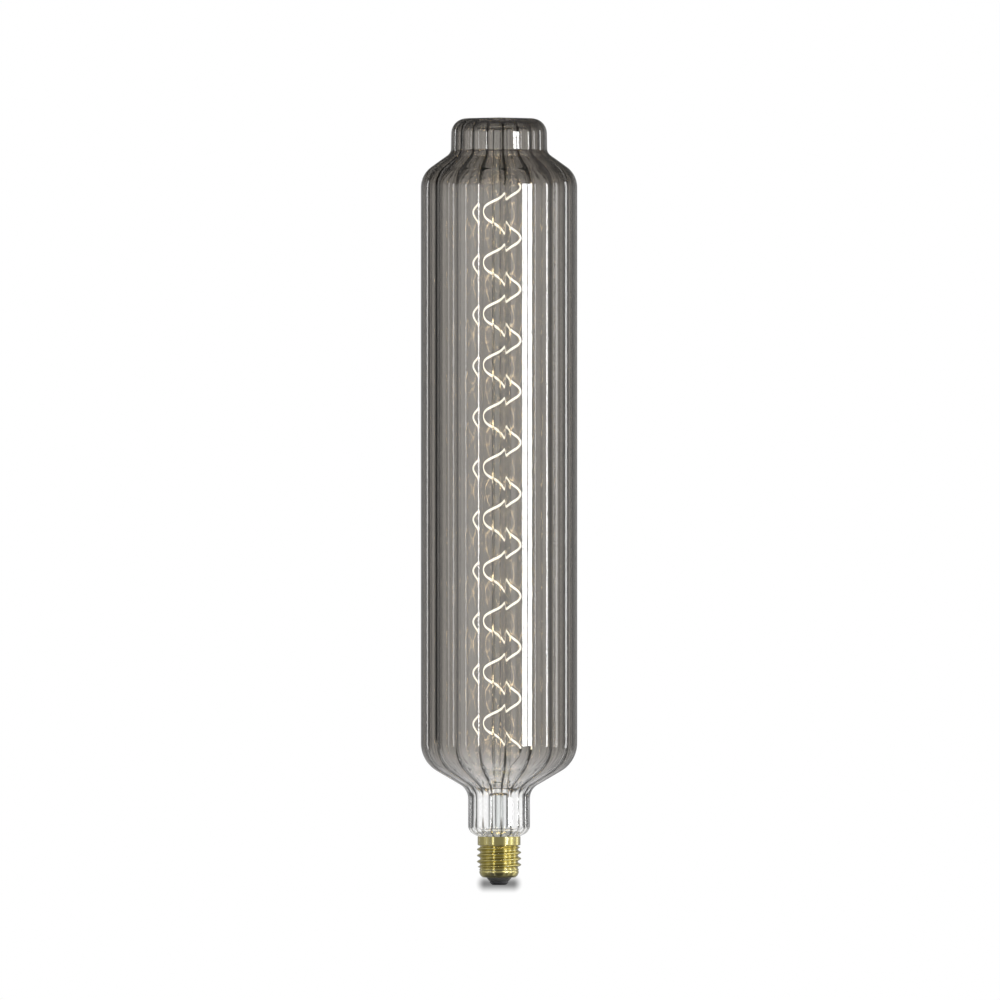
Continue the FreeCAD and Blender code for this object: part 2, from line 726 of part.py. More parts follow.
def make_lead_wires():
    """One wire from the board to the lower clip, and one inside the centre tube to the upper clip."""
    middle_rise = (s.clip_length.number / 2 + s.fit_gap.number) * math.sin(coil_slope)
    face_drop = s.clip_height.number / 2 / math.cos(coil_slope) + s.lead_radius.number + s.weld_gap.number
    lower_end = coil_bottom.number - middle_rise - face_drop
    bent_wire("lower_lead_wire", [
        at(s.lower_lead_offset, leads_start),
        at(s.lower_lead_offset, press_top + s.lower_lead_rise),
        at(s.coil_radius, lower_end - s.lower_lead_end.number),
        at(s.coil_radius, lower_end),
    ], s.lead_radius, lower_lead_angle)
    bent_wire("return_lead_wire", [
        at(-s.return_offset, leads_start),
        at(-s.return_offset, return_exit),
        at(s.coil_radius, return_exit),
        at(s.coil_radius, coil_top.number + middle_rise + face_drop),
    ], s.lead_radius, return_angle)


# The cap

def make_centre_contact():
    contact = turned_body("centre_contact", [
        (ORIGIN, ORIGIN),
        (s.contact_flat_radius, ORIGIN),
        (s.contact_radius, s.contact_slope),
        (s.contact_radius, s.contact_height),
        (s.spigot_radius, s.contact_height),
        (s.spigot_radius, spigot_top),
        (ORIGIN, spigot_top),
    ])
    keep(contact, "centre_contact")


def make_cap_insulator():
    """Moulded round the foot's mouth: a cone below it and a disc above it."""
    hole = s.spigot_radius + s.fit_gap
    insulator = turned_body("cap_insulator", [
        (hole, s.contact_height),
        (s.insulator_face_radius, s.contact_height),
        (s.insulator_neck_radius, insulator_seat),
        (s.insulator_radius, insulator_seat),
        (s.insulator_radius, insulator_top),
        (hole, insulator_top),
    ])
    keep(insulator, "cap_insulator")


def shell_ring(radius, height, offset=0.0, angle=0.0):
    return level_ring(plain(radius), plain(height), SHELL_SIDES, offset, angle)


def thread_rings():
    """Each level section of a rolled thread is a ring set off the axis, and that offset goes once round
    for each turn of the thread."""
    turns = s.thread_length.number / s.thread_pitch.number
    count = math.ceil(turns * THREAD_RINGS_PER_TURN)
    rings = []
    for index in range(count + 1):
        turn = turns * index / count
        from_end = min(turn, turns - turn)
        offset = s.thread_depth.number / 2 * min(1.0, from_end / s.thread_run_in.number)
        height = thread_start.number + turn * s.thread_pitch.number
        angle = s.thread_angle.number + turn * 360
        rings.append(shell_ring(s.thread_root_radius + offset, height, offset, angle))
    return rings


def make_screw_shell():
    """Foot with its beads, thread and plain skirt, all of one sheet of brass."""
    outside = [
        shell_ring(s.foot_radius, shell_foot),
        shell_ring(s.foot_curve_radius, shell_foot + s.foot_curve_rise),
        shell_ring(s.bead_radius, bead_low),
        shell_ring(s.bead_radius, bead_low + s.bead_width),
        shell_ring(s.groove_radius, groove),
        shell_ring(s.bead_radius, bead_high),
        shell_ring(s.bead_radius, bead_high + s.bead_width),
    ]
    outside += thread_rings()
    outside += [shell_ring(s.skirt_radius, skirt_start), shell_ring(s.skirt_radius, rim)]

    sheet = s.shell_sheet
    mouth = s.insulator_neck_radius + s.fit_gap * 3
    inside = [
        shell_ring(mouth, ORIGIN),
        shell_ring(mouth, shell_foot + sheet),
        shell_ring(s.foot_radius - sheet / 2, shell_foot + sheet),
        shell_ring(s.foot_curve_radius - sheet, shell_foot + s.foot_curve_rise + sheet / 2),
        shell_ring(s.groove_radius - sheet, bead_low + sheet),
        shell_ring(s.groove_radius - sheet, thread_start),
        shell_ring(thread_bore, thread_start + sheet),
        shell_ring(thread_bore, thread_end + sheet / 2),
        shell_ring(skirt_bore, skirt_start + sheet / 2),
        shell_ring(skirt_bore, rim + sheet),
    ]
    blank = shaped("shell_outside", skinned(outside))
    cut_away("screw_shell", blank, shaped("shell_inside", skinned(inside)))


def make_basing_cement():
    """Ring that holds the glass collar in the skirt."""
    start = collar_end + s.cement_low_gap
    end = rim - s.cement_high_gap
    outer = skirt_bore - s.fit_gap
    ring = shaped("cement_blank", skinned([shell_ring(outer, start), shell_ring(outer, end)]))
    collar = doc.addObject("Part::Cylinder", "cement_bore")
    bind(collar, "Radius", s.collar_radius + s.fit_gap)
    bind(collar, "Height", rim)
    cut_away("basing_cement", ring, collar)


# The driver in the cap

def make_block(name, low, sides):
    """A box with its lowest corner and its three sides tied to the sheet."""
    block = doc.addObject("Part::Box", name)
    for side, value in zip(("Length", "Width", "Height"), sides):
        bind(block, side, value)
    for axis, value in zip("xyz", low):
        bind(block, "Placement.Base." + axis, value)
    keep(block, name)


def make_can(name, low, radius, height, tilt=0.0):
    """A round part with its sizes and its place tied to the sheet, tilted about X where it lies down."""
    can = doc.addObject("Part::Cylinder", name)
    bind(can, "Radius", radius)
    bind(can, "Height", height)
    can.Placement = FreeCAD.Placement(FreeCAD.Vector(), FreeCAD.Rotation(FreeCAD.Vector(1, 0, 0), tilt))
    for axis, value in zip("xyz", low):
        bind(can, "Placement.Base." + axis, value)
    keep(can, name)


def make_front_part(name, rise, width, thickness, height):
    """A flat part on the front of the board, at the right."""
    make_block(name, (s.chips_offset - width / 2, board_front - s.fit_gap - thickness, board_bottom + rise),
               (width, thickness, height))


def make_driver():
    """The board stands on the insulator, with flat parts, the capacitor and the choke soldered to it."""
    make_block("driver_board", (-s.board_width / 2, board_front, board_bottom),
               (s.board_width, s.board_thickness, s.board_height))
    make_front_part("driver_chip", s.chip_rise, s.chip_width, s.chip_thickness, s.chip_height)
    make_front_part("bridge_rectifier", s.rectifier_rise, s.rectifier_width, s.rectifier_thickness,
                    s.rectifier_height)
    make_front_part("sense_resistor", s.sense_rise, s.sense_width, s.sense_thickness, s.sense_height)
    make_block("freewheel_diode",
               (s.chips_offset - s.diode_width / 2, board_back + s.fit_gap, board_bottom + s.diode_rise),
               (s.diode_width, s.diode_thickness, s.diode_height))
    capacitor_depth = board_front - s.fit_gap - s.capacitor_radius
    make_can("input_capacitor", (-s.capacitor_offset, capacitor_depth, board_bottom + s.capacitor_rise),
             s.capacitor_radius, s.capacitor_height)
    make_can("choke", (s.chips_offset - s.fit_gap, board_back + s.fit_gap, board_bottom + s.choke_rise),
             s.choke_radius, s.choke_height, -90)
    make_can("fusible_resistor", (-s.fusible_offset, fusible_depth, board_bottom + s.fusible_rise),
             s.fusible_radius, s.fusible_length)


def make_cap_wires():
    """Live wire from the contact to the resistor, and neutral wire from the board to the screw shell."""
    reach = math.hypot(s.fusible_offset.number, fusible_depth.number)
    angle = math.degrees(math.atan2(fusible_depth.number, -s.fusible_offset.number))
    crossing = board_bottom + s.live_wire_rise
    bent_wire("live_wire", [
        at(0, spigot_top + s.weld_gap),
        at(0, crossing),
        at(reach, crossing),
        at(reach, board_bottom + s.fusible_rise - s.weld_gap),
    ], s.cap_wire_radius, Size(str(angle), angle))
    start = board_bottom + s.neutral_wire_rise
    bent_wire("neutral_wire", [
        at(s.board_width / 2 + s.weld_gap, start),
        at(s.neutral_wire_bend, start),
        at(s.neutral_wire_bend, start + s.neutral_wire_climb),
        at(thread_bore - s.weld_gap, start + s.neutral_wire_climb),
    ], s.cap_wire_radius, ORIGIN)


def check_and_write():
    """Stop on any failed object, then write each piece to its own file."""
    doc.recompute()
    for thing in doc.Objects:
        if "Invalid" in thing.State or "Error" in thing.State:
            raise RuntimeError(thing.Name + " failed: " + str(thing.State))
    os.makedirs("parts", exist_ok=True)
    for piece in pieces:
        shape = piece.Shape
        if shape.isNull() or not shape.isValid() or not shape.Solids:
            raise RuntimeError(piece.Label + " has no valid solid")
        shape.exportStep("parts/" + piece.Label + ".step")
        print("%-22s %2d solid %12.1f mm3" % (piece.Label, len(shape.Solids), shape.Volume))


make_glass_envelope()
make_glass_mount()
make_filament()
make_clip("filament_clip_lower", coil_bottom, s.coil_angle, -1)
make_clip("filament_clip_upper", coil_top, coil_top_angle, 1)
make_lead_wires()
make_centre_contact()
make_cap_insulator()
make_screw_shell()
make_basing_cement()
make_driver()
make_cap_wires()
check_and_write()
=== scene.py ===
# %% [markdown]
# # A long smoked-glass filament lamp
#
# The real lamp is a long tube of blown, grey-tinted glass. A glowing strand winds round a clear tube
# inside it, and a brass screw cap holds it in its socket. Its solids were built in CAD. This script
# dresses them: it makes smooth meshes for the pieces that show the most, gives each piece a material made
# of nodes, and sets up the studio and the camera.
#
# Blender works in metres. The lamp's own sizes are written in millimetres, as a maker would say them, and
# `MM` turns them into metres.

# %% Load the frame
import math

import bmesh
import bpy
from mathutils import Matrix, Vector


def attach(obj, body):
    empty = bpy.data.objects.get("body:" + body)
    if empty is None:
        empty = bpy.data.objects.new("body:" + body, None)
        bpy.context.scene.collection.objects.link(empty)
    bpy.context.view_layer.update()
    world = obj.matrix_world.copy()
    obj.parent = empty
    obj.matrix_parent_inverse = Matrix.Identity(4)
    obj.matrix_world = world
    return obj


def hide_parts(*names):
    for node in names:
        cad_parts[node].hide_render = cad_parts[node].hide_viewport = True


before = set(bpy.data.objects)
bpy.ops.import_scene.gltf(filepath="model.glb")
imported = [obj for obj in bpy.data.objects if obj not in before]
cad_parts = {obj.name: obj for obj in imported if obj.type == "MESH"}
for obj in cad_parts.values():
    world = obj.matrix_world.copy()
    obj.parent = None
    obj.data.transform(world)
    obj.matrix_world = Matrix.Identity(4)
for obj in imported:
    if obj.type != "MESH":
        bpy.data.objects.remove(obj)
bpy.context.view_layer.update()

MM = 0.001


# %% [markdown]
# ## Profiles
#
# A glass blower turns the bulb as it is shaped, and the cap is turned and rolled, so nearly every piece
# of the lamp is round. Each begins as half of its outline: a row of corners, as radius and height. The
# corners could be rounded afterwards with a bevel, but blown glass has large, soft roundings that meet
# each other, and they come out best when the profile itself is drawn with arcs. `rounded` does that. Each
# point that it gives back also carries the direction square to the profile, which the flutes need later.

# %% Round the corners of a profile
def side_of(along):
    """The direction square to a profile that runs down or outwards: it points out of the lamp."""
    return Vector((-along.y, along.x))


def rounded(corners, segments=14):
    """Points and outward directions along corners of (radius, height, rounding), in millimetres."""
    points = [Vector(corner[:2]) for corner in corners]
    stations = []
    for index, corner in enumerate(corners):
        here = points[index]
        if index in (0, len(corners) - 1):
            other = points[index + 1] if index == 0 else points[index - 1]
            along = (other - here) if index == 0 else (here - other)
            stations.append((here, side_of(along.normalized())))
            continue
        before = (here - points[index - 1]).normalized()
        after = (points[index + 1] - here).normalized()
        rounding = corner[2] if len(corner) > 2 else 0.0
        turn = before.angle_signed(after)
        if rounding == 0.0:
            stations.append((here, side_of((before + after).normalized())))
            continue
        reach = rounding * math.tan(abs(turn) / 2)
        middle = here - before * reach + side_of(before) * (rounding if turn < 0 else -rounding)
        for step in range(segments + 1):
            angle = turn * step / segments
            along = Matrix.Rotation(-angle, 2) @ before
            outwards = side_of(along)
            stations.append((middle + outwards * (-rounding if turn < 0 else rounding), outwards))
    return stations


sample = rounded([(0, 0), (10, 0, 3), (10, -10)], 4)
print("two ends and one corner, rounded in 4 steps, make", len(sample), "points")


# %% [markdown]
# ## Walls
#
# The glass is a few millimetres thick and not the same all over: the blower's breath thins some stretches
# more than others. A Solidify modifier could give it one thickness. Here every straight run of the
# profile gets its own, so `inset` moves each run in by its wall and lays the new corners where
# neighbouring runs meet.

# %% Move a profile in by the thickness of its wall
def inset(corners, walls):
    """The corners one wall inside a row of corners, one wall for each straight run."""
    points = [Vector(corner[:2]) for corner in corners]
    lines = []
    for start, end, wall in zip(points, points[1:], walls):
        along = (end - start).normalized()
        lines.append((start - side_of(along) * wall, along))
    inside = [lines[0][0]]
    for (start, along), (other, across) in zip(lines, lines[1:]):
        gap = other - start
        reach = (gap.x * across.y - gap.y * across.x) / (along.x * across.y - along.y * across.x)
        inside.append(start + along * reach)
    inside.append(points[-1] - side_of(lines[-1][1]) * walls[-1])
    return inside


sample = inset([(0, 0), (10, 0), (10, -10)], [1, 1])
print("a corner at radius 10 with a wall of 1 has its inside at radius", round(sample[1].x, 3))


# %% [markdown]
# ## From a profile to a mesh
#
# A profile becomes a round body when it is spun about the lamp's axis, as on a lathe. The Screw modifier
# would do this too, but the flutes and the thread are pushed out of the round form afterwards, vertex by
# vertex. So bmesh's spin operator is used, and each vertex remembers which station of the profile it came
# from.

# %% Spin a profile
def spun(mesh, stations, steps, start=0.0):
    """Spin stations about Z. Returns the new vertices and the layer that holds their station number."""
    layer = mesh.verts.layers.int.get("station") or mesh.verts.layers.int.new("station")
    old = set(mesh.verts)
    turn = Matrix.Rotation(math.radians(start), 3, "Z")
    row = []
    for index, (point, outwards) in enumerate(stations):
        vertex = mesh.verts.new(turn @ Vector((point.x, 0, point.y)) * MM)
        vertex[layer] = index
        row.append(vertex)
    edges = [mesh.edges.new(pair) for pair in zip(row, row[1:])]
    bmesh.ops.spin(mesh, geom=row + edges, axis=(0, 0, 1), cent=(0, 0, 0), angle=math.tau, steps=steps,
                   use_merge=True)
    new = [vertex for vertex in mesh.verts if vertex not in old]
    bmesh.ops.remove_doubles(mesh, verts=new, dist=1e-7)
    return [vertex for vertex in mesh.verts if vertex not in old], layer


trial = bmesh.new()
print("a lid spun in 8 steps has", len(spun(trial, rounded([(0, 1), (1, 1), (1, 0)]), 8)[0]), "vertices")
trial.free()


# %% [markdown]
# A finished mesh becomes an object at the origin, unturned, with its place in its mesh. It rides on the
# lamp's one body and stands for the CAD node of the same piece, which is hidden. Glass and rolled brass
# look smooth, so the faces are shaded smooth, and only edges with a sharp fold stay hard.

# %% Hand a mesh over as a piece of the lamp
def finished(mesh, name, node, sharp=30.0):
    """Turn a bmesh into an object that rides on the lamp and stands for a CAD node."""
    for face in mesh.faces:
        face.smooth = True
    for edge in mesh.edges:
        if len(edge.link_faces) == 2:
            edge.smooth = edge.calc_face_angle(0.0) < math.radians(sharp)
    data = bpy.data.meshes.new(name)
    mesh.to_mesh(data)
    mesh.free()
    piece = bpy.data.objects.new(name, data)
    bpy.context.scene.collection.objects.link(piece)
    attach(piece, "root")
    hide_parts(node)
    print(name, "has", len(data.polygons), "faces")
    return piece


# %% [markdown]
# ## The glass
#
# Such a bulb is blown twice: first in a ribbed mould, and then in a smooth one, which moves the ribs to
# its inside. So its outside is plain: a small round crown, two shoulders, a straight body, a neck, and a
# collar that sits in the cap. The sizes were measured in the photograph. The walls are a guess: thickest
# in the body and its shoulders, with inner roundings that differ a little from the outer ones, as they do
# in thick glass.

# %% The profile of the glass
CAP_RIM = 28.8
COLLAR_TOP = 28.7
COLLAR_END = 23.4
COLLAR_RADIUS = 11.95
NECK_FOOT = 31.7
NECK_TOP = 56.9
NECK_RADIUS = 18.4
LOWER_SHOULDER = 73.4
UPPER_SHOULDER = 422.75
BODY_RADIUS = 46.5
CROWN_FOOT = 435.5
CROWN_EDGE = 455.8
CROWN_TOP = 456.7
OUTSIDE = [
    (0, CROWN_TOP),
    (28.3, CROWN_EDGE, 9.0),
    (28.7, CROWN_FOOT, 5.0),
    (BODY_RADIUS, UPPER_SHOULDER, 15.0),
    (BODY_RADIUS, LOWER_SHOULDER, 19.2),
    (NECK_RADIUS, NECK_TOP, 9.4),
    (NECK_RADIUS, NECK_FOOT, 6.0),
    (COLLAR_RADIUS, COLLAR_TOP),
    (COLLAR_RADIUS, COLLAR_END),
]
WALLS = [3.2, 3.2, 3.8, 3.8, 3.8, 3.0, 3.0, 2.2]
INNER_ROUNDINGS = [0, 5.8, 8.2, 11.2, 15.4, 12.4, 3.0, 3.0, 0]

inner_corners = inset(OUTSIDE, WALLS)
outside = rounded(OUTSIDE, 12)
inside = rounded([(*corner, rounding) for corner, rounding in zip(inner_corners, INNER_ROUNDINGS)])
print("inner corners", [(round(corner.x, 2), round(corner.y, 2)) for corner in inner_corners])


# %% [markdown]
# ## The flutes
#
# The ribbed mould left eighteen flutes: hollow channels with a ridge between every two. They are hardly
# seen as forms. What is seen is how they bend the light into vertical streaks, so their shape decides the
# look of the whole lamp. A sine wave would be the easy choice, but it bends the light too evenly. This
# form falls away quickly on both sides of a ridge and is nearly flat between, and the ridge's tip is
# slightly round.

# %% The form of one flute
RIDGE_RADIUS = 42.7
FLUTES = 18
FLUTE_PITCH = 360.0 / FLUTES
FLUTE_ANGLE = -5.1
RIB_HEIGHT = 0.95
RIB_SPREAD = 2.1
RIB_TIP = 0.35


def nearest_ridge(angle):
    """The angle, in degrees, from the nearest ridge: negative to its right, positive to its left."""
    return (angle - FLUTE_ANGLE + FLUTE_PITCH / 2) % FLUTE_PITCH - FLUTE_PITCH / 2


def flute_hollow(angle):
    """How far the inside lies outside the ridges at an angle, in millimetres, in the straight body."""
    away = math.radians(nearest_ridge(angle)) * RIDGE_RADIUS
    away = math.hypot(away, RIB_TIP) - RIB_TIP
    return RIB_HEIGHT * (1 - math.exp(-away / RIB_SPREAD))


middle_of_flute = FLUTE_ANGLE + FLUTE_PITCH / 2
print("in the middle of a flute the wall is hollowed by", round(flute_hollow(middle_of_flute), 2), "mm")


# %% [markdown]
# The glass bends light the most beside the ridges, so the mesh needs its columns there. `crowded` squares
# each column's share of the way from its ridge, which draws the columns together at the ridges and
# spreads them in the flutes. Even columns, as close as the first two beside a ridge, would be twelve
# times as many.
#
# The flutes also fade: towards the middle of the crown, where they run together, in the neck, where the
# photograph shows them only faintly, and in the collar, which is round to fit the cap.

# %% Crowd the columns and fade the flutes
HUB = 8.0
HUB_FADE = 9.0
NECK_FADE_IN = (33.0, 39.0)
NECK_FADE_OUT = (50.0, 62.0)
NECK_LOSS = 0.85
COLLAR_FADE = (COLLAR_TOP - 0.5, COLLAR_TOP + 3.0)


def crowded(angle):
    """Move the columns of the mesh towards the ridges, where the glass bends the most."""
    half = FLUTE_PITCH / 2
    away = nearest_ridge(angle)
    share = abs(away) / half
    return angle - away + math.copysign(share ** 2.0 * half, away)


def smooth_step(value, start, end):
    """0 before the start, 1 after the end, and a soft slope between them."""
    share = min(max((value - start) / (end - start), 0.0), 1.0)
    return share * share * (3 - 2 * share)


def flute_strength(point):
    """How deep the flutes are at a point of the profile, from 0 to 1."""
    if point.y > CROWN_FOOT:
        return smooth_step(point.x, HUB, HUB + HUB_FADE)
    neck = smooth_step(point.y, *NECK_FADE_IN) * (1 - smooth_step(point.y, *NECK_FADE_OUT))
    return smooth_step(point.y, *COLLAR_FADE) * (1 - NECK_LOSS * neck)


for name, point in (("body", Vector((42.7, 250.0))), ("neck", Vector((15.4, 45.0)))):
    print("the flutes' strength in the", name, "is", round(flute_strength(point), 2))


# %% [markdown]
# Now the bulb is made: outside and inside are one long profile, down the outside and back up the inside,
# so that the spin gives one closed skin. The inside's vertices are then pushed out into the flutes. The
# flat roof of the crown has only two stations of its own, so a few more rows carry the flutes' fading
# there.

# %% Make the glass
COLUMNS_PER_FLUTE = 24
ROOF_ROWS = (HUB, 10.0, 12.0, 14.0, 16.0)

roof = [(Vector((radius, CROWN_TOP - WALLS[0])), Vector((0, 1))) for radius in ROOF_ROWS]
skin = outside + list(reversed([inside[0]] + roof + inside[1:]))
glass = bmesh.new()
vertices, layer = spun(glass, skin, FLUTES * COLUMNS_PER_FLUTE, FLUTE_ANGLE)
for vertex in vertices:
    index = vertex[layer]
    if index < len(outside):
        continue
    point, outwards = skin[index]
    angle = crowded(math.degrees(math.atan2(vertex.co.y, vertex.co.x)))
    push = flute_hollow(angle) * point.x / RIDGE_RADIUS * flute_strength(point)
    radius = (point.x + outwards.x * push) * MM
    turn = math.radians(angle)
    vertex.co = (math.cos(turn) * radius, math.sin(turn) * radius, (point.y + outwards.y * push) * MM)
bmesh.ops.recalc_face_normals(glass, faces=glass.faces)
envelope = finished(glass, "glass", "glass_envelope", 25.0)


# %% [markdown]
# ## The glass mount
#
# On the lamp-making bench the mount is one piece of clear glass: a flared stem that is melted into the
# neck, pressed flat at its top round the wires, a thin exhaust tube inside the stem, and a long tube on
# the axis that carries the upper wire. It could be four objects, but where they meet a ray of light would
# cross double walls. So it is one skin again, spun from one outline, with extra rows where the stem is
# pressed.

# %% The outline of the mount
STEM_ROOF = 57.0
PINCH_TOP = 60.4
PRESS_TOP = 65.4
TUBE_TOP = 453.2
TUBE_RADIUS = 4.15
TUBE_BORE = 3.35
STEM_RADIUS = 6.2
STEM_BORE = 5.2
EXHAUST_RADIUS = 2.1
EXHAUST_BORE = 1.3
FLARE_RADIUS = 11.1
MOUNT_OUTLINE = [
    (0, TUBE_TOP),
    (TUBE_RADIUS, TUBE_TOP, 3.4),
    (TUBE_RADIUS, PRESS_TOP, 0.6),
    (STEM_RADIUS, PRESS_TOP, 0.6),
    (STEM_RADIUS, COLLAR_END + 6.6, 12.0),
    (9.35, COLLAR_END, 0.8),
    (FLARE_RADIUS, COLLAR_END, 0.5),
    (FLARE_RADIUS, COLLAR_END - 1.3, 0.5),
    (8.2, COLLAR_END - 1.3, 0.6),
    (STEM_BORE, COLLAR_END + 6.1, 12.0),
    (STEM_BORE, STEM_ROOF - 1.0, 2.4),
    (EXHAUST_RADIUS, STEM_ROOF - 1.0, 0.5),
    (EXHAUST_RADIUS, COLLAR_END + 1.2, 1.2),
    (0, COLLAR_END + 1.2),
]
PRESS_HEIGHTS = [PRESS_TOP - 2.5] + [PINCH_TOP - 0.5 * step for step in range(10)]


def with_rows(stations, rows, above):
    """Put rows into a profile, after its last station above a height."""
    place = max(index for index, (point, outwards) in enumerate(stations) if point.y > above) + 1
    return stations[:place] + rows + stations[place:]


press_rows = [(Vector((STEM_RADIUS, height)), Vector((1, 0))) for height in PRESS_HEIGHTS]
mount_stations = with_rows(rounded(MOUNT_OUTLINE, 10), press_rows, PRESS_TOP - 0.7)
print("the mount's profile has", len(mount_stations), "stations,", len(press_rows), "of them for the press")


# %% [markdown]
# Hot glass that is squeezed between two jaws turns from a circle into a flat block with round corners. A
# fourth-power oval has just that outline, so each vertex of the press is moved out or in to lie on it.
# The change grows over a few millimetres of height, as it does where the jaws' edges rest.

# %% Press the stem flat and make the mount
PRESS_HALF_WIDTH = 5.4
PRESS_HALF_DEPTH = 3.5
PRESS_CORE = 4.6
PRESS_LOW = STEM_ROOF - 1.5


def press_form(x, y, height):
    """Squeeze the round tube flat where it is pressed round the wires."""
    amount = smooth_step(height, PRESS_LOW, PINCH_TOP)
    radius = math.hypot(x, y)
    if radius < PRESS_CORE:
        return x, y
    across = (abs(x / radius) / PRESS_HALF_WIDTH) ** 4 + (abs(y / radius) / PRESS_HALF_DEPTH) ** 4
    scale = 1 + (across ** -0.25 / STEM_RADIUS - 1) * amount
    return x * scale, y * scale


mount = bmesh.new()
vertices, layer = spun(mount, mount_stations, 72)
for vertex in vertices:
    height = vertex.co.z / MM
    if PRESS_LOW < height < PRESS_TOP + 0.5:
        x, y = press_form(vertex.co.x / MM, vertex.co.y / MM, height)
        vertex.co.x = x * MM
        vertex.co.y = y * MM
bmesh.ops.recalc_face_normals(mount, faces=mount.faces)
print("the press is", 2 * PRESS_HALF_WIDTH, "by", 2 * PRESS_HALF_DEPTH, "mm")


# %% [markdown]
# The long tube and the exhaust tube are hollow. Their hollows are closed skins inside the mount's skin.
# The light leaves the glass where it meets them, so their faces have to point into the hollow: the
# normals are made consistent first, and then the faces are reversed.

# %% Hollow the two tubes
HOLLOWS = [
    ([(0, TUBE_TOP - 1.0), (TUBE_BORE, TUBE_TOP - 1.0, 2.8),
      (TUBE_BORE, PRESS_TOP, 0.5), (0, PRESS_TOP)], 10),
    ([(0, PINCH_TOP + 1.8), (EXHAUST_BORE, PINCH_TOP + 1.8, 0.4),
      (EXHAUST_BORE, COLLAR_END + 2.7, 0.4), (0, COLLAR_END + 2.7)], 6),
]
for corners, segments in HOLLOWS:
    before = set(mount.faces)
    spun(mount, rounded(corners, segments), 72)
    faces = [face for face in mount.faces if face not in before]
    bmesh.ops.recalc_face_normals(mount, faces=faces)
    bmesh.ops.reverse_faces(mount, faces=faces)
glass_mount = finished(mount, "mount", "glass_mount")


# %% [markdown]
# ## The filament
#
# The filament is a flexible strip of tiny light sources in a coat of silicone, about a millimetre and a
# half thick, wound in eleven turns. A curve with a bevel would make it too. Here rings are laid along the
# path and bridged, because each ring can then take its turn from the one before, so that the strand never
# twists.

# %% Sweep a round section along a path
def swept(mesh, path, radius, sides):
    """A round strand along a row of points, closed at both ends."""
    rings = []
    side = None
    for index, point in enumerate(path):
        ahead = path[min(index + 1, len(path) - 1)] - path[max(index - 1, 0)]
        ahead.normalize()
        if side is None:
            side = ahead.orthogonal().normalized()
        side = (side - ahead * side.dot(ahead)).normalized()
        up = ahead.cross(side)
        ring = []
        for step in range(sides):
            turn = math.tau * step / sides
            offset = side * (math.cos(turn) * radius) + up * (math.sin(turn) * radius)
            ring.append(mesh.verts.new((point + offset) * MM))
        rings.append([mesh.edges.new((ring[i - 1], ring[i])) for i in range(sides)])
    for low, high in zip(rings, rings[1:]):
        bmesh.ops.bridge_loops(mesh, edges=low + high)
    for ring in (rings[0], rings[-1]):
        bmesh.ops.contextual_create(mesh, geom=ring)
    bmesh.ops.recalc_face_normals(mesh, faces=mesh.faces)
    return mesh


# %% [markdown]
# The winding itself needs only a few sizes: how far from the axis it runs, how much it rises in one turn,
# and where it starts and ends. They were fitted to the photograph, where each turn can be followed in
# front of the clear tube and behind it. Forty-eight points to a turn keep the helix smooth from every
# side.

# %% Wind the filament
COIL_RADIUS = 13.4
COIL_PITCH = 30.43
COIL_LOW = 80.0
COIL_HIGH = 417.4
COIL_ANGLE = -8.0
STRAND_RADIUS = 0.74
POINTS_PER_TURN = 48


def coil_point(height):
    """The middle of the strand at a height."""
    angle = math.radians(COIL_ANGLE + (height - COIL_LOW) / COIL_PITCH * 360)
    return Vector((COIL_RADIUS * math.cos(angle), COIL_RADIUS * math.sin(angle), height))


coil_rise = COIL_HIGH - COIL_LOW
count = round(coil_rise / COIL_PITCH * POINTS_PER_TURN)
path = [coil_point(COIL_LOW + coil_rise * step / count) for step in range(count + 1)]
coil = swept(bmesh.new(), path, STRAND_RADIUS, 12)
filament = finished(coil, "strand", "filament", 60.0)
print("the strand makes", round(coil_rise / COIL_PITCH, 1), "turns")


# %% [markdown]
# ## The screw cap
#
# The cap is one thin sheet of brass. It is first drawn to a plain cup, and then rollers press the thread
# and the two beads into it, so the thread is as soft and round as a wave and shows on both sides of the
# sheet. A thread could be a separate sweep along a helix, but that would leave a seam on the tube. So it
# is pushed out of the spun tube: a cosine of height and angle, which fades in and out at its two ends.

# %% The outline of the shell and its thread
THREAD_START = 9.9
THREAD_END = 23.2
THREAD_PITCH = 3.629
THREAD_DEPTH = 1.95
THREAD_ANGLE = 146.0
THREAD_ROOT = 11.25
THREAD_SHARPNESS = 1.15
THREAD_FADE = 0.3
SHELL_OUTLINE = [
    (12.78, CAP_RIM),
    (12.78, 23.7, 0.4),
    (THREAD_ROOT, THREAD_END + 0.1, 0.3),
    (THREAD_ROOT, THREAD_START - 0.2, 0.2),
    (11.75, 9.6, 0.15),
    (11.75, 8.9, 0.15),
    (11.45, 8.45, 0.15),
    (11.75, 8.0, 0.15),
    (11.75, 7.3, 0.5),
    (11.0, 5.6, 1.0),
    (9.7, 4.45, 0.6),
    (7.75, 4.45),
]


def thread_height(height, angle):
    """How far the thread stands out at a height and an angle."""
    turn = (height - THREAD_START) / THREAD_PITCH
    turns = (THREAD_END - THREAD_START) / THREAD_PITCH
    if not 0 < turn < turns:
        return 0.0
    phase = (turn - (angle - THREAD_ANGLE) / 360.0) % 1.0
    crest = 0.5 + 0.5 * math.cos(math.tau * phase)
    ends = smooth_step(min(turn, turns - turn), 0.0, THREAD_FADE)
    return THREAD_DEPTH * crest ** THREAD_SHARPNESS * ends


heights = [thread_height(THREAD_START + THREAD_PITCH * 1.5, angle) for angle in range(360)]
print("round the cap the thread stands out by", round(min(heights), 2), "to", round(max(heights), 2), "mm")


# %% [markdown]
# The sheet is nearly as thick all over as it was before it was drawn. So its inside is the same row of
# stations, each moved in by the sheet along its own outward direction, and only the two cut ends are
# squared.

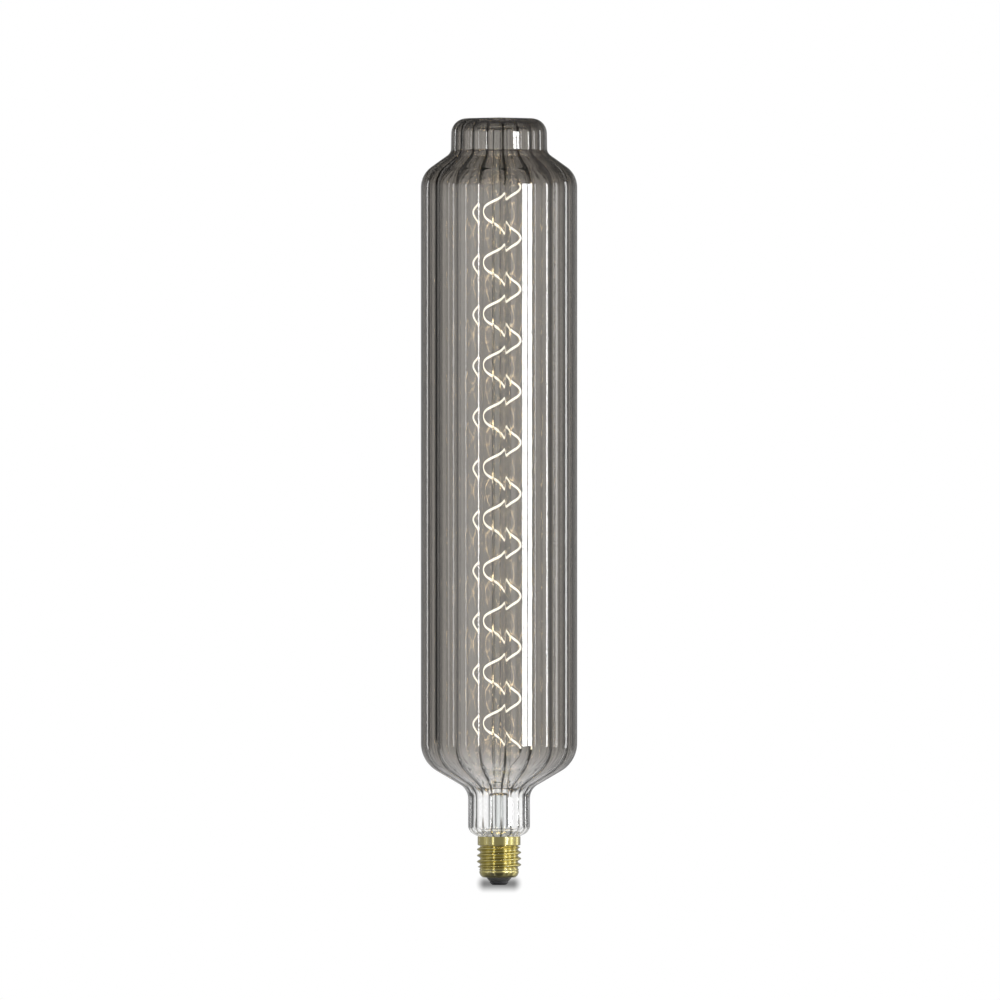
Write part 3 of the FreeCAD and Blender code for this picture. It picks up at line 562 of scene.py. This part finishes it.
# %% Make the brass shell
SHEET = 0.3
THREAD_ROWS = 120

thread_step = (THREAD_END - THREAD_START) / THREAD_ROWS
thread_rows = [(Vector((THREAD_ROOT, THREAD_END - thread_step * step)), Vector((1, 0)))
               for step in range(1, THREAD_ROWS)]
shell_outside = with_rows(rounded(SHELL_OUTLINE, 5), thread_rows, THREAD_END - 0.3)
shell_inside = [(point - outwards * SHEET, outwards) for point, outwards in shell_outside]
shell_inside[0] = (shell_outside[0][0] - Vector((SHEET, 0)), Vector((1, 0)))
shell_inside[-1] = (shell_outside[-1][0] + Vector((0, SHEET)), Vector((0, -1)))
ring = shell_outside + list(reversed(shell_inside))
ring.append(ring[0])
shell = bmesh.new()
vertices, layer = spun(shell, ring, 240)
for vertex in vertices:
    angle = math.degrees(math.atan2(vertex.co.y, vertex.co.x))
    push = thread_height(vertex.co.z / MM, angle)
    radius = math.hypot(vertex.co.x, vertex.co.y)
    vertex.co.x *= (radius + push * MM) / radius
    vertex.co.y *= (radius + push * MM) / radius
bmesh.ops.recalc_face_normals(shell, faces=shell.faces)
brass_shell = finished(shell, "brass_cap", "screw_shell", 40.0)


# %% [markdown]
# ## The insulator and the contact
#
# Two small turned pieces close the foot of the cap: a black insulator like a flat funnel, and the round
# metal contact that is riveted through its hole. Cylinders with bevels would do, but with the spin at
# hand their outlines say more: the funnel's slope, the ledge that the brass sits on, and the contact's
# dome.

# %% Turn the insulator and the contact
INSULATOR_OUTLINE = [
    (1.65, 7.2),
    (9.0, 7.2, 0.3),
    (9.0, 4.8, 0.3),
    (7.6, 4.8),
    (7.6, 4.5, 0.4),
    (5.9, 2.4, 0.3),
    (1.65, 2.4),
    (1.65, 7.2),
]
CONTACT_OUTLINE = [
    (0, 6.6),
    (1.6, 6.6, 0.3),
    (1.6, 2.4),
    (5.55, 2.4, 0.35),
    (5.55, 1.3, 1.0),
    (4.05, 0, 0.5),
    (0, 0),
]


def turned(corners, name, node):
    """A small solid piece, turned from its outline."""
    body = bmesh.new()
    spun(body, rounded(corners, 6), 96)
    bmesh.ops.recalc_face_normals(body, faces=body.faces)
    return finished(body, name, node)


insulator = turned(INSULATOR_OUTLINE, "insulator", "cap_insulator")
contact = turned(CONTACT_OUTLINE, "contact", "centre_contact")


# %% [markdown]
# ## A small language for materials
#
# A material is a tree of nodes. Wired by hand, a formula such as `1 - mask` takes three lines for each
# operator. `Value` wraps one output of a node, and its operators add Math nodes, so a formula can be
# written as a formula. The reflected forms, such as `__rsub__`, let a plain number stand on the left.
#
# Three more methods name what the lamp needs often: a soft ramp, a soft band, and the distance of an
# angle from the nearest of a ring of angles, for flutes and for lights that stand at every quarter turn.

# %% Shader arithmetic
class Value:
    """One output inside a material or a world. Arithmetic on it adds Math nodes."""

    def __init__(self, paint, socket):
        self.paint = paint
        self.socket = socket

    def math(self, operation, *others):
        return self.paint.node("ShaderNodeMath", {"operation": operation}, self, *others)

    def __add__(self, other):
        return self.math("ADD", other)

    def __radd__(self, other):
        return self.math("ADD", other)

    def __sub__(self, other):
        return self.math("SUBTRACT", other)

    def __rsub__(self, other):
        return self.paint.node("ShaderNodeMath", {"operation": "SUBTRACT"}, other, self)

    def __mul__(self, other):
        return self.math("MULTIPLY", other)

    def __rmul__(self, other):
        return self.math("MULTIPLY", other)

    def __truediv__(self, other):
        return self.math("DIVIDE", other)

    def ramp(self, start, end, low=0.0, high=1.0):
        """Low up to the start, high from the end on, and a soft slope between them."""
        return self.paint.node("ShaderNodeMapRange", {"interpolation_type": "SMOOTHSTEP"},
                               self, start, end, low, high)

    def band(self, middle, half, soft):
        """1 inside a band of values and 0 outside it, with soft edges."""
        return (self - middle).math("ABSOLUTE").ramp(half - soft, half + soft, 1.0, 0.0)

    def off_nearest(self, pitch, first=0.0):
        """How far an angle, in degrees, lies from the nearest of a ring of evenly spaced angles."""
        shifted = self + (360.0 + pitch / 2 - first)
        return (shifted.math("MODULO", pitch) - pitch / 2).math("ABSOLUTE")

    def split(self):
        """The three parts of a vector."""
        parts = self.paint.node("ShaderNodeSeparateXYZ", None, self)
        return [Value(self.paint, socket) for socket in parts.socket.node.outputs]

    def compass(self):
        """X, Y and Z of a vector, its length seen from above, and its angle from the front, in degrees."""
        x, y, z = self.split()
        flat = (x * x + y * y).math("SQRT")
        return x, y, z, flat, x.math("ARCTAN2", y * -1.0) * (180.0 / math.pi)


# %% [markdown]
# Every node that isn't plain arithmetic comes from one method, `node`. It sets the node's own settings
# first, because some of them change which sockets the node has, and then fills or links its sockets, by
# their place or by their name. Colours are blended by a Mix node and never by a Math node, which would
# turn them grey.

# %% Nodes for a material or a world
def pick(sockets, key):
    """A socket by its number, its identifier, or its name with underscores for its spaces."""
    if isinstance(key, int):
        return sockets[key]
    return next(socket for socket in sockets if key in (socket.identifier, socket.name.replace(" ", "_")))


class Paint:
    """A material or a world, and a short way to add its nodes."""

    def __init__(self, owner):
        owner.use_nodes = True
        self.owner = owner
        self.tree = owner.node_tree
        self.tree.nodes.clear()

    def node(self, kind, settings=None, *values, output=0, **named):
        node = self.tree.nodes.new(kind)
        for name, value in (settings or {}).items():
            if name == "stops":
                while len(node.color_ramp.elements) < len(value):
                    node.color_ramp.elements.new(0.5)
                for element, (place, colour) in zip(node.color_ramp.elements, value):
                    element.position = place
                    element.color = colour
            else:
                setattr(node, name, value)
        for key, value in list(enumerate(values)) + list(named.items()):
            socket = pick(node.inputs, key)
            if isinstance(value, Value):
                self.tree.links.new(value.socket, socket)
            else:
                socket.default_value = value
        return Value(self, pick(node.outputs, output)) if node.outputs else None

    def where(self):
        """The point that is shaded, in metres, in the lamp's own frame."""
        return self.node("ShaderNodeTexCoord", output="Object")

    def noise(self, vector, scale, detail):
        return self.node("ShaderNodeTexNoise", None, Vector=vector, Scale=scale, Detail=detail)

    def blend(self, factor, first, second):
        """A colour between two others."""
        return self.node("ShaderNodeMix", {"data_type": "RGBA"}, output="Result_Color", Factor_Float=factor,
                         A_Color=first, B_Color=second)

    def principled(self, **finish):
        """End the material in a Principled shader."""
        self.node("ShaderNodeOutputMaterial", None, self.node("ShaderNodeBsdfPrincipled", None, **finish))


def material(name):
    return Paint(bpy.data.materials.new(name))


def dress(paint, *pieces):
    """Give pieces a material, in place of any that they have."""
    for piece in pieces:
        piece.data.materials.clear()
        piece.data.materials.append(paint.owner)
    print(paint.owner.name, "has", len(paint.tree.nodes), "nodes; pieces dressed in it:", len(pieces))


# %% [markdown]
# ## Smoked glass
#
# Smoked glass is tinted through and through, so it looks darker where the light has to go a longer way:
# at the rims, along the ridges, in the shoulders. A flat tint on the surface would look like paint.
# Volume absorption would be exact. But the closing export only takes one fixed density, and this smoke
# fades out in the neck. Instead the tint depends on Ray Length: where a ray leaves the glass, which
# Backfacing tells, Ray Length is the way that it has just gone inside.
#
# The tint works in doses. The Principled shader applies the root of its colour at each face of the glass,
# so a straight way through a plain wall takes two doses, one at each face, and lets through `SMOKE` in
# all. Where a ray enters, its way isn't known yet, and it pays one dose. Where it leaves, it pays twice
# its way, counted in plain walls, less the dose that it has paid.

# %% Smoke by the way through the glass
SMOKE = (0.507, 0.490, 0.467)
PLAIN_WALL = 3.2
MOST_DOSES = 8.0

smoked = material("smoked glass")
where = smoked.where()
x, y, z, radius, round_angle = where.compass()
in_crown = z.ramp(0.408, 0.422)
smoke = z.ramp(0.053, 0.088, 0.03, 1.0) + in_crown * 0.2 + (smoked.noise(where, 40.0, 3.0) - 0.5) * 0.03
walls_crossed = smoked.node("ShaderNodeLightPath", output="Ray Length") / (PLAIN_WALL * MM)
leaving = smoked.node("ShaderNodeNewGeometry", output="Backfacing")
way_out = (walls_crossed * 2.0 - 1.0).math("MAXIMUM", 0.0).math("MINIMUM", MOST_DOSES)
amount = way_out * leaving + (1.0 - leaving)
density = smoke * amount + in_crown * (amount - 1.5).math("MAXIMUM", 0.0) * 0.7
print("the smoke in a plain wall lets through", SMOKE, "of the red, green and blue light")


# %% [markdown]
# In the photograph a thin dark line runs along the ridges in the lower shoulder, in the crown and at the
# foot of the neck, where the ridge's tip throws the light aside. The mesh's ridge is a little too round
# for that, and a sharper one breaks the picture of the filament behind it. So the lines are painted shade:
# extra doses of smoke near each ridge, on the near wall only. On that wall the shaded side looks away from
# the axis, which the normal tells.

# %% Painted shade: dark lines along the ridges
PAINTED_RIDGE_SHADE = 7.0
LINE_CORE = 0.3
LINE_EDGE = 0.75
FULL_HEIGHT = 0.46
RIDGE_SHADE_STRENGTH = [(0.0, 0.6), (0.078, 0.6), (0.088, 0.03), (0.115, 0.03), (0.13, 1.0), (0.170, 1.0),
                 (0.182, 0.0), (0.900, 0.0), (0.925, 0.8), (1.0, 0.8)]

first_ridge = (FLUTE_ANGLE + 90.0) % FLUTE_PITCH
from_ridge = round_angle.off_nearest(FLUTE_PITCH, first_ridge) * radius * (math.pi / 180.0 / MM)
normal_x, normal_y, normal_z = smoked.node("ShaderNodeNewGeometry", output="Normal").split()
looks_out = (normal_x * x + normal_y * y).math("GREATER_THAN", 0.0)
near = looks_out * leaving
stops = [(place, (level, level, level, 1)) for place, level in RIDGE_SHADE_STRENGTH]
strength = smoked.node("ShaderNodeValToRGB", {"stops": stops}, z / FULL_HEIGHT)
# Painted shade: dark lines along the ridges, added as doses of smoke.
density = density + from_ridge.ramp(LINE_CORE, LINE_EDGE, 1.0, 0.0) * near * strength * PAINTED_RIDGE_SHADE
print("the first ridge stands", round(first_ridge, 1), "degrees to the right of the front")


# %% [markdown]
# Glass that was drawn out has faint streaks along its length. Four strong dark ones can be counted in the
# photograph's body. They are painted shade for light that the glass throws aside there, made as extra
# smoke on the near wall at their angles. The fine streaks come from a noise that is stretched along the
# lamp: it reads the direction from the axis, so the pattern runs round without a seam, and only a little
# of the height.

# %% Painted dark streaks and the drawn glass's fine streaks
PAINTED_DARK_STREAKS = [(-56.3, 1.0, 12.0), (-65.5, 0.8, 3.0), (52.5, 0.5, 1.5), (77.0, 1.2, 4.0)]

# Painted shade: four dark streaks at fixed angles, on the near wall of the body.
in_body = z.ramp(0.084, 0.090, 0.0, near)
for angle, half, doses in PAINTED_DARK_STREAKS:
    off = (round_angle - angle).math("ABSOLUTE")
    density = density + off.ramp(half * 0.4, half * 1.4, doses, 0.0) * in_body
stretched = smoked.node("ShaderNodeCombineXYZ", None, x / radius, y / radius, z * 0.3)
density = density + (smoked.noise(stretched, 27.0, 3.0) - 0.5) * near * smoke * 1.6
print(len(PAINTED_DARK_STREAKS), "strong streaks and the fine ones are in the near wall")


# %% [markdown]
# The doses become a colour by the law of absorption: each further dose multiplies the light by the same
# share. So a channel is its share to the power of the doses, worked out as an exponential.
#
# In the photograph the foot of the neck is brighter than bent light alone makes it here. Where that light
# comes from can't be told, so the foot gets a faint light of its own, on the near side only.

# %% The smoked glass
FOOT_LIGHT = 0.27
FOOT_TINT = (1.0, 0.99, 0.94)

channels = [(density * math.log(share)).math("EXPONENT") for share in SMOKE]
tone = smoked.node("ShaderNodeCombineColor", None, *channels)
# Painted light at the neck's foot, dimmed beside the ridges so that painted dark lines stay there.
foot = z.ramp(0.0350, 0.0322, 0.0, FOOT_LIGHT) * from_ridge.ramp(0.35, 0.9, 0.15, 1.0)
light = foot * (looks_out * (1.0 - leaving))
glow = smoked.node("ShaderNodeCombineColor", None, *[light * share for share in FOOT_TINT])
smoked.principled(Base_Color=tone, Roughness=0.0, IOR=1.5, Transmission_Weight=1.0, Emission_Color=glow,
                  Emission_Strength=1.0)
dress(smoked, envelope)


# %% [markdown]
# ## Clear glass
#
# The mount is clear. Real glass bends light at an index of about 1.5. With that index, orange images of
# the strand, mirrored inside the long tube's wall, came out far brighter than any in the photograph. An
# index of 1.2 made them fade. The stem and the exhaust tube still drew strong lines in the neck, so it
# was lowered once more.

# %% The clear glass
clear = material("clear glass")
tone = clear.blend(clear.noise(clear.where(), 60.0, 2.0), (0.93, 0.94, 0.94, 1), (0.98, 0.985, 0.98, 1))
clear.principled(Base_Color=tone, Roughness=0.0, IOR=1.13, Transmission_Weight=1.0)
dress(clear, glass_mount)


# %% [markdown]
# ## The glowing strand
#
# The strand is so bright that a camera sees it as white, while its mirror images in the glass show its
# true warm colour. One light can't do both, because a few parts in a hundred of white are grey. So the
# strand gives two: a calm white to rays that come straight, and a strong amber to rays that were
# mirrored, told apart by the path's Glossy Depth.

# %% The light of the strand
STRAIGHT = ((2.3, 2.2, 1.95, 1), (2.4, 2.3, 2.1, 1))
MIRRORED = (20.0, 15.5, 9.0, 1)

strand = material("filament")
calm = strand.blend(strand.noise(strand.where(), 900.0, 2.0), *STRAIGHT)
is_mirrored = strand.node("ShaderNodeLightPath", output="Glossy Depth").math("MINIMUM", 1.0)
strand.principled(Base_Color=(0.8, 0.7, 0.4, 1), Roughness=0.5, Emission_Strength=1.0,
                  Emission_Color=strand.blend(is_mirrored, calm, MIRRORED))
dress(strand, filament)


# %% [markdown]
# ## Brass
#
# The cap is bright brass with a thin clear lacquer. The metal itself is nearly a mirror, with a grain so
# fine that it only blurs the edges, and the lacquer is a half-strong coat without any blur. The yellow is
# greener than a textbook's brass, as it is in the photograph.

# %% The brass
brass = material("brass")
grain = brass.noise(brass.where(), 220.0, 4.0)
tone = brass.blend(grain, (0.56, 0.49, 0.19, 1), (0.60, 0.53, 0.22, 1))
bump = brass.node("ShaderNodeBump", None, Strength=0.02, Distance=0.0002, Height=grain)
brass.principled(Base_Color=tone, Metallic=1.0, Roughness=0.09 + grain * 0.02, Normal=bump, Coat_Weight=0.5,
                 Coat_Roughness=0.0)
dress(brass, brass_shell)


# %% [markdown]
# ## Plain finishes
#
# The other pieces are small or hidden: the insulator, the contact, wires and clips of nickel, the cement
# ring and the driver in the cap. They share one recipe: two near tones, mixed by a fine noise that also
# moves the roughness a little, so that no surface is perfectly even.

# %% A recipe for plain finishes
def plain(name, dark, light, roughness, scale=300.0, **finish):
    """A finish of two near tones. More sockets of the Principled shader can be named."""
    paint = material(name)
    grain = paint.noise(paint.where(), scale, 3.0)
    paint.principled(Base_Color=paint.blend(grain, (*dark, 1), (*light, 1)),
                     Roughness=grain * 0.1 + roughness, **finish)
    return paint


black = plain("black insulator", (0.08, 0.08, 0.075), (0.10, 0.10, 0.095), 0.35)
dress(black, insulator)
dark_metal = plain("contact metal", (0.045, 0.045, 0.048), (0.06, 0.06, 0.064), 0.4)
dress(dark_metal, contact)


# %% [markdown]
# The small and hidden pieces keep their CAD meshes and only get a finish. The cement ring is seen through
# the neck's glass, where little light reaches it, so it has some light of its own, as the neck's foot
# has.

# %% Dress the pieces that stay as they are
def cad(*names):
    """The objects of CAD nodes, by name."""
    return [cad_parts[name] for name in names]


dress(plain("nickel", (0.22, 0.21, 0.20), (0.30, 0.29, 0.27), 0.25, Metallic=1.0),
      *cad("filament_clip_lower", "filament_clip_upper", "lower_lead_wire", "return_lead_wire", "live_wire",
           "neutral_wire"))
dress(plain("cement", (0.70, 0.68, 0.62), (0.82, 0.80, 0.74), 0.8, Emission_Color=(0.9, 0.85, 0.75, 1),
            Emission_Strength=0.6),
      *cad("basing_cement"))
dress(plain("board", (0.05, 0.20, 0.09), (0.08, 0.27, 0.12), 0.4), *cad("driver_board"))
dress(plain("component black", (0.02, 0.02, 0.022), (0.04, 0.04, 0.045), 0.5),
      *cad("driver_chip", "bridge_rectifier", "sense_resistor", "freewheel_diode", "choke"))
dress(plain("capacitor film", (0.03, 0.035, 0.06), (0.05, 0.055, 0.09), 0.3), *cad("input_capacitor"))
dress(plain("resistor coat", (0.10, 0.28, 0.30), (0.14, 0.35, 0.38), 0.4), *cad("fusible_resistor"))


# %% [markdown]
# ## The studio
#
# Glass has no look of its own: it shows the room, bent and mirrored. A real photographer of glass sets a
# white ground behind it, dark cards beside it and a few strip lights in front. Area lights and cards
# could be put into the scene, but the world can play all of them, and it can be asked who is looking. The
# camera's rays see plain white. Rays that were mirrored, bent or scattered each see a studio of their
# own.
#
# The world is drawn by the angle round the lamp, 0 at the front and growing to the right, and by `lift`,
# which is the rise of a direction over its way along the ground.

# %% Directions in the world
world = Paint(bpy.data.worlds.new("studio"))
bpy.context.scene.world = world.owner
x, y, z, flat, azimuth = world.node("ShaderNodeTexCoord", output="Generated").compass()
lift = z / flat
print("the world is drawn by azimuth and lift")


# %% [markdown]
# Smooth glass mirrors the strips sharply, and each strip light draws one clean vertical line on the bulb.
# A row gives a strip's angle, half its width, both in degrees, and its power. Strips of different width
# keep the lines from looking like a fence. They end at a set height, so that they don't fill the top of
# the crown.

# %% What smooth mirrors see
STRIPS = [(35.6, 1.2, 24.0), (39.6, 2.4, 24.0), (46.4, 3.2, 24.0), (55.0, 0.8, 6.0), (75.5, 1.2, 20.0),
          (89.2, 0.8, 3.5), (94.4, 2.2, 4.0), (118.0, 2.4, 6.0), (-30.3, 0.8, 18.0), (-71.3, 1.2, 5.0),
          (-80.0, 0.8, 2.0), (-133.0, 1.8, 3.2), (-50.2, 0.7, 5.0)]
ROOM = 0.3

window = lift.ramp(-0.17, -0.14) * lift.ramp(0.235, 0.20)
strips = 0.0
for middle, half, power in STRIPS:
    strips = azimuth.band(middle, half, 0.3) * window * power + strips
glassy = (ROOM + azimuth.band(-45.0, 22.0, 8.0) * 0.9) * lift.ramp(0.03, 0.25, 1.0, 0.15) + strips
print("smooth mirrors see", len(STRIPS), "strips")


# %% [markdown]
# The brass and the plain pieces blur what they mirror, so they see broad bands instead. Each row of
# `SLOPES` brightens or darkens the room from one angle to another, and each row of `BANDS` does so within
# a band. The rows follow the bright and dark stripes that stand on the cap in the photograph.

# %% What rough surfaces see
DULL_ROOM = 0.34
SLOPES = [(18.0, 40.0, 0.62), (-36.0, -60.0, 0.10), (122.0, 140.0, -0.5)]
BANDS = [(-33.0, 5.0, 3.0, 1.3), (41.0, 9.0, 3.0, 0.6), (71.0, 6.0, 3.0, 1.0), (113.0, 5.0, 3.0, 0.7),
         (94.0, 7.0, 4.0, -0.35), (-75.0, 14.0, 5.0, 0.22)]

dull = DULL_ROOM
for start, end, power in SLOPES:
    dull = azimuth.ramp(start, end) * power + dull
for middle, half, soft, power in BANDS:
    dull = azimuth.band(middle, half, soft) * power + dull
dull = dull * lift.ramp(-0.15, -1.0, 1.0, 0.2) * lift.ramp(0.2, 1.2, 1.0, 1.9)
print("rough surfaces see", len(SLOPES), "slopes and", len(BANDS), "bands")


# %% [markdown]
# What is seen through the glass gives it its body: bright cards with dark ground between them make the
# rims and the ridges dark. A card stands at every quarter turn, so that the glass has a bright middle and
# dark rims from all four sides. Low cards, one at every eighth turn, light the shoulder and the neck from
# below.

# %% What bent rays see
DARK = 0.07

from_quarter = azimuth.off_nearest(90.0)
from_eighth = azimuth.off_nearest(45.0)
main_card = from_quarter.ramp(16.5, 18.5, 1.0, 0.0) * lift.ramp(0.14, 0.22, 1.0, 0.0)
main_card = main_card * lift.ramp(-0.2, -0.3, 1.0, 0.0)
low_card = from_eighth.ramp(16.0, 18.0, 1.0, 0.3) * lift.ramp(-0.12, -0.2, 0.0, 0.95)
low_card = low_card.math("MAXIMUM", lift.ramp(-0.5, -0.7, 0.0, 0.75))
cards = main_card.math("MAXIMUM", low_card) * (1.0 - DARK) + DARK
print("the ground between the cards has a brightness of", DARK)


# %% [markdown]
# The last step asks what kind of ray is looking, and hands it its studio. The camera's answer comes last,
# because it is the strongest: whatever else is true, the camera sees white.

# %% Join the world
is_sharp = world.node("ShaderNodeLightPath", output="Is Singular Ray")
is_through = world.node("ShaderNodeLightPath", output="Is Transmission Ray")
is_camera = world.node("ShaderNodeLightPath", output="Is Camera Ray")
seen = glassy * is_sharp + dull * (1.0 - is_sharp)
seen = seen * (1.0 - is_through) + cards * is_through
seen = seen * (1.0 - is_camera) + is_camera
background = world.node("ShaderNodeBackground", None, Color=(1, 1, 1, 1), Strength=seen)
world.node("ShaderNodeOutputWorld", None, background)
print("the world has", len(world.tree.nodes), "nodes")


# %% [markdown]
# ## The floor
#
# The photograph has no floor to be seen, but the lamp gets soft light from below, as from a white table.
# A plane does that, hidden from the camera, from mirrors and from the glass.

# %% A floor that only gives light
bpy.ops.mesh.primitive_plane_add(size=8.0)
floor = bpy.context.object
floor.name = "floor"
floor.visible_camera = False
floor.visible_transmission = False
floor.visible_glossy = False
dress(plain("floor", (0.80, 0.80, 0.80), (0.82, 0.82, 0.82), 0.6, 3.0), floor)


# %% [markdown]
# Under the contact the photograph has one small, soft, grey shadow, as if the lamp stood on paper. The
# floor is hidden from the camera, so it can't show a shadow. Instead the shadow is painted on an upright
# card at the lamp's foot, black by a share that fades outwards from a short line, like a brush stroke: it
# is strongest on the line, and gone about six millimetres from it.

# %% The painted shadow under the lamp
SHADOW_REACH = 6.25
SHADOW_CORE = 8.33
SHADOW_HEIGHT = 0.77
SHADOW_STRENGTH = 0.77
CARD_HALF_WIDTH = 15.0
CARD_HALF_HEIGHT = 6.5

card = bmesh.new()
bmesh.ops.create_grid(card, x_segments=1, y_segments=1, size=1.0)
for vertex in card.verts:
    height = vertex.co.y * CARD_HALF_HEIGHT + SHADOW_HEIGHT
    vertex.co = (vertex.co.x * CARD_HALF_WIDTH * MM, 0, height * MM)
data = bpy.data.meshes.new("soft_shadow")
card.to_mesh(data)
card.free()
soft_shadow = bpy.data.objects.new("soft_shadow", data)
bpy.context.scene.collection.objects.link(soft_shadow)
soft_shadow.visible_transmission = False
soft_shadow.visible_glossy = False
soft_shadow.visible_diffuse = False
soft_shadow.visible_shadow = False

shade = material("soft shadow")
x, y, z = shade.where().split()
beyond = (x.math("ABSOLUTE") - SHADOW_CORE * MM).math("MAXIMUM", 0.0)
drop = z - SHADOW_HEIGHT * MM
off = (beyond * beyond + drop * drop).math("SQRT")
# Painted shadow: the share of black on the card.
share = off.ramp(0.2 * MM, SHADOW_REACH * MM, SHADOW_STRENGTH, 0.0)
see_through = shade.node("ShaderNodeBsdfTransparent")
nothing = shade.node("ShaderNodeEmission", None, Color=(0.0, 0.0, 0.0, 1), Strength=0.0)
painted_shadow = shade.node("ShaderNodeMixShader", None, share, see_through, nothing)
shade.node("ShaderNodeOutputMaterial", None, painted_shadow)
dress(shade, soft_shadow)


# %% [markdown]
# ## The camera
#
# In the photograph the crown and the cap are both seen squarely, as they are from far away through a long
# lens. An 800 mm lens on a 36 mm sensor does that. The picture is as wide as 1000 of the photograph's
# pixels, and the lamp's axis and foot lie at the column and the row where the photograph has them.
#
# The view is Standard, as white has to stay white, and light may be bent many times, because a ray
# crosses eight faces of glass on its straight way through the middle of the body, and twelve in the neck.

# %% Set the camera and the light's path
LENS = 800.0
SENSOR = 36.0
PICTURE_WIDTH = 0.595
PIXEL = PICTURE_WIDTH / 1000
AXIS_COLUMN = 499.06
FOOT_ROW = 884.9

camera_data = bpy.data.cameras.new("camera")
camera_data.sensor_width = SENSOR
camera_data.lens = LENS
camera_data.clip_end = 100.0
camera = bpy.data.objects.new("camera", camera_data)
bpy.context.scene.collection.objects.link(camera)
camera.rotation_euler = (math.radians(90), 0, 0)
distance = PICTURE_WIDTH * LENS / SENSOR
camera.location = ((500 - AXIS_COLUMN) * PIXEL, -distance, (FOOT_ROW - 500) * PIXEL)
scene = bpy.context.scene
scene.camera = camera
scene.view_settings.view_transform = "Standard"
scene.cycles.max_bounces = 32
scene.cycles.transmission_bounces = 32
scene.cycles.glossy_bounces = 16
scene.cycles.caustics_reflective = False
scene.cycles.caustics_refractive = True
print("the camera stands", round(distance, 2), "m in front of the lamp")
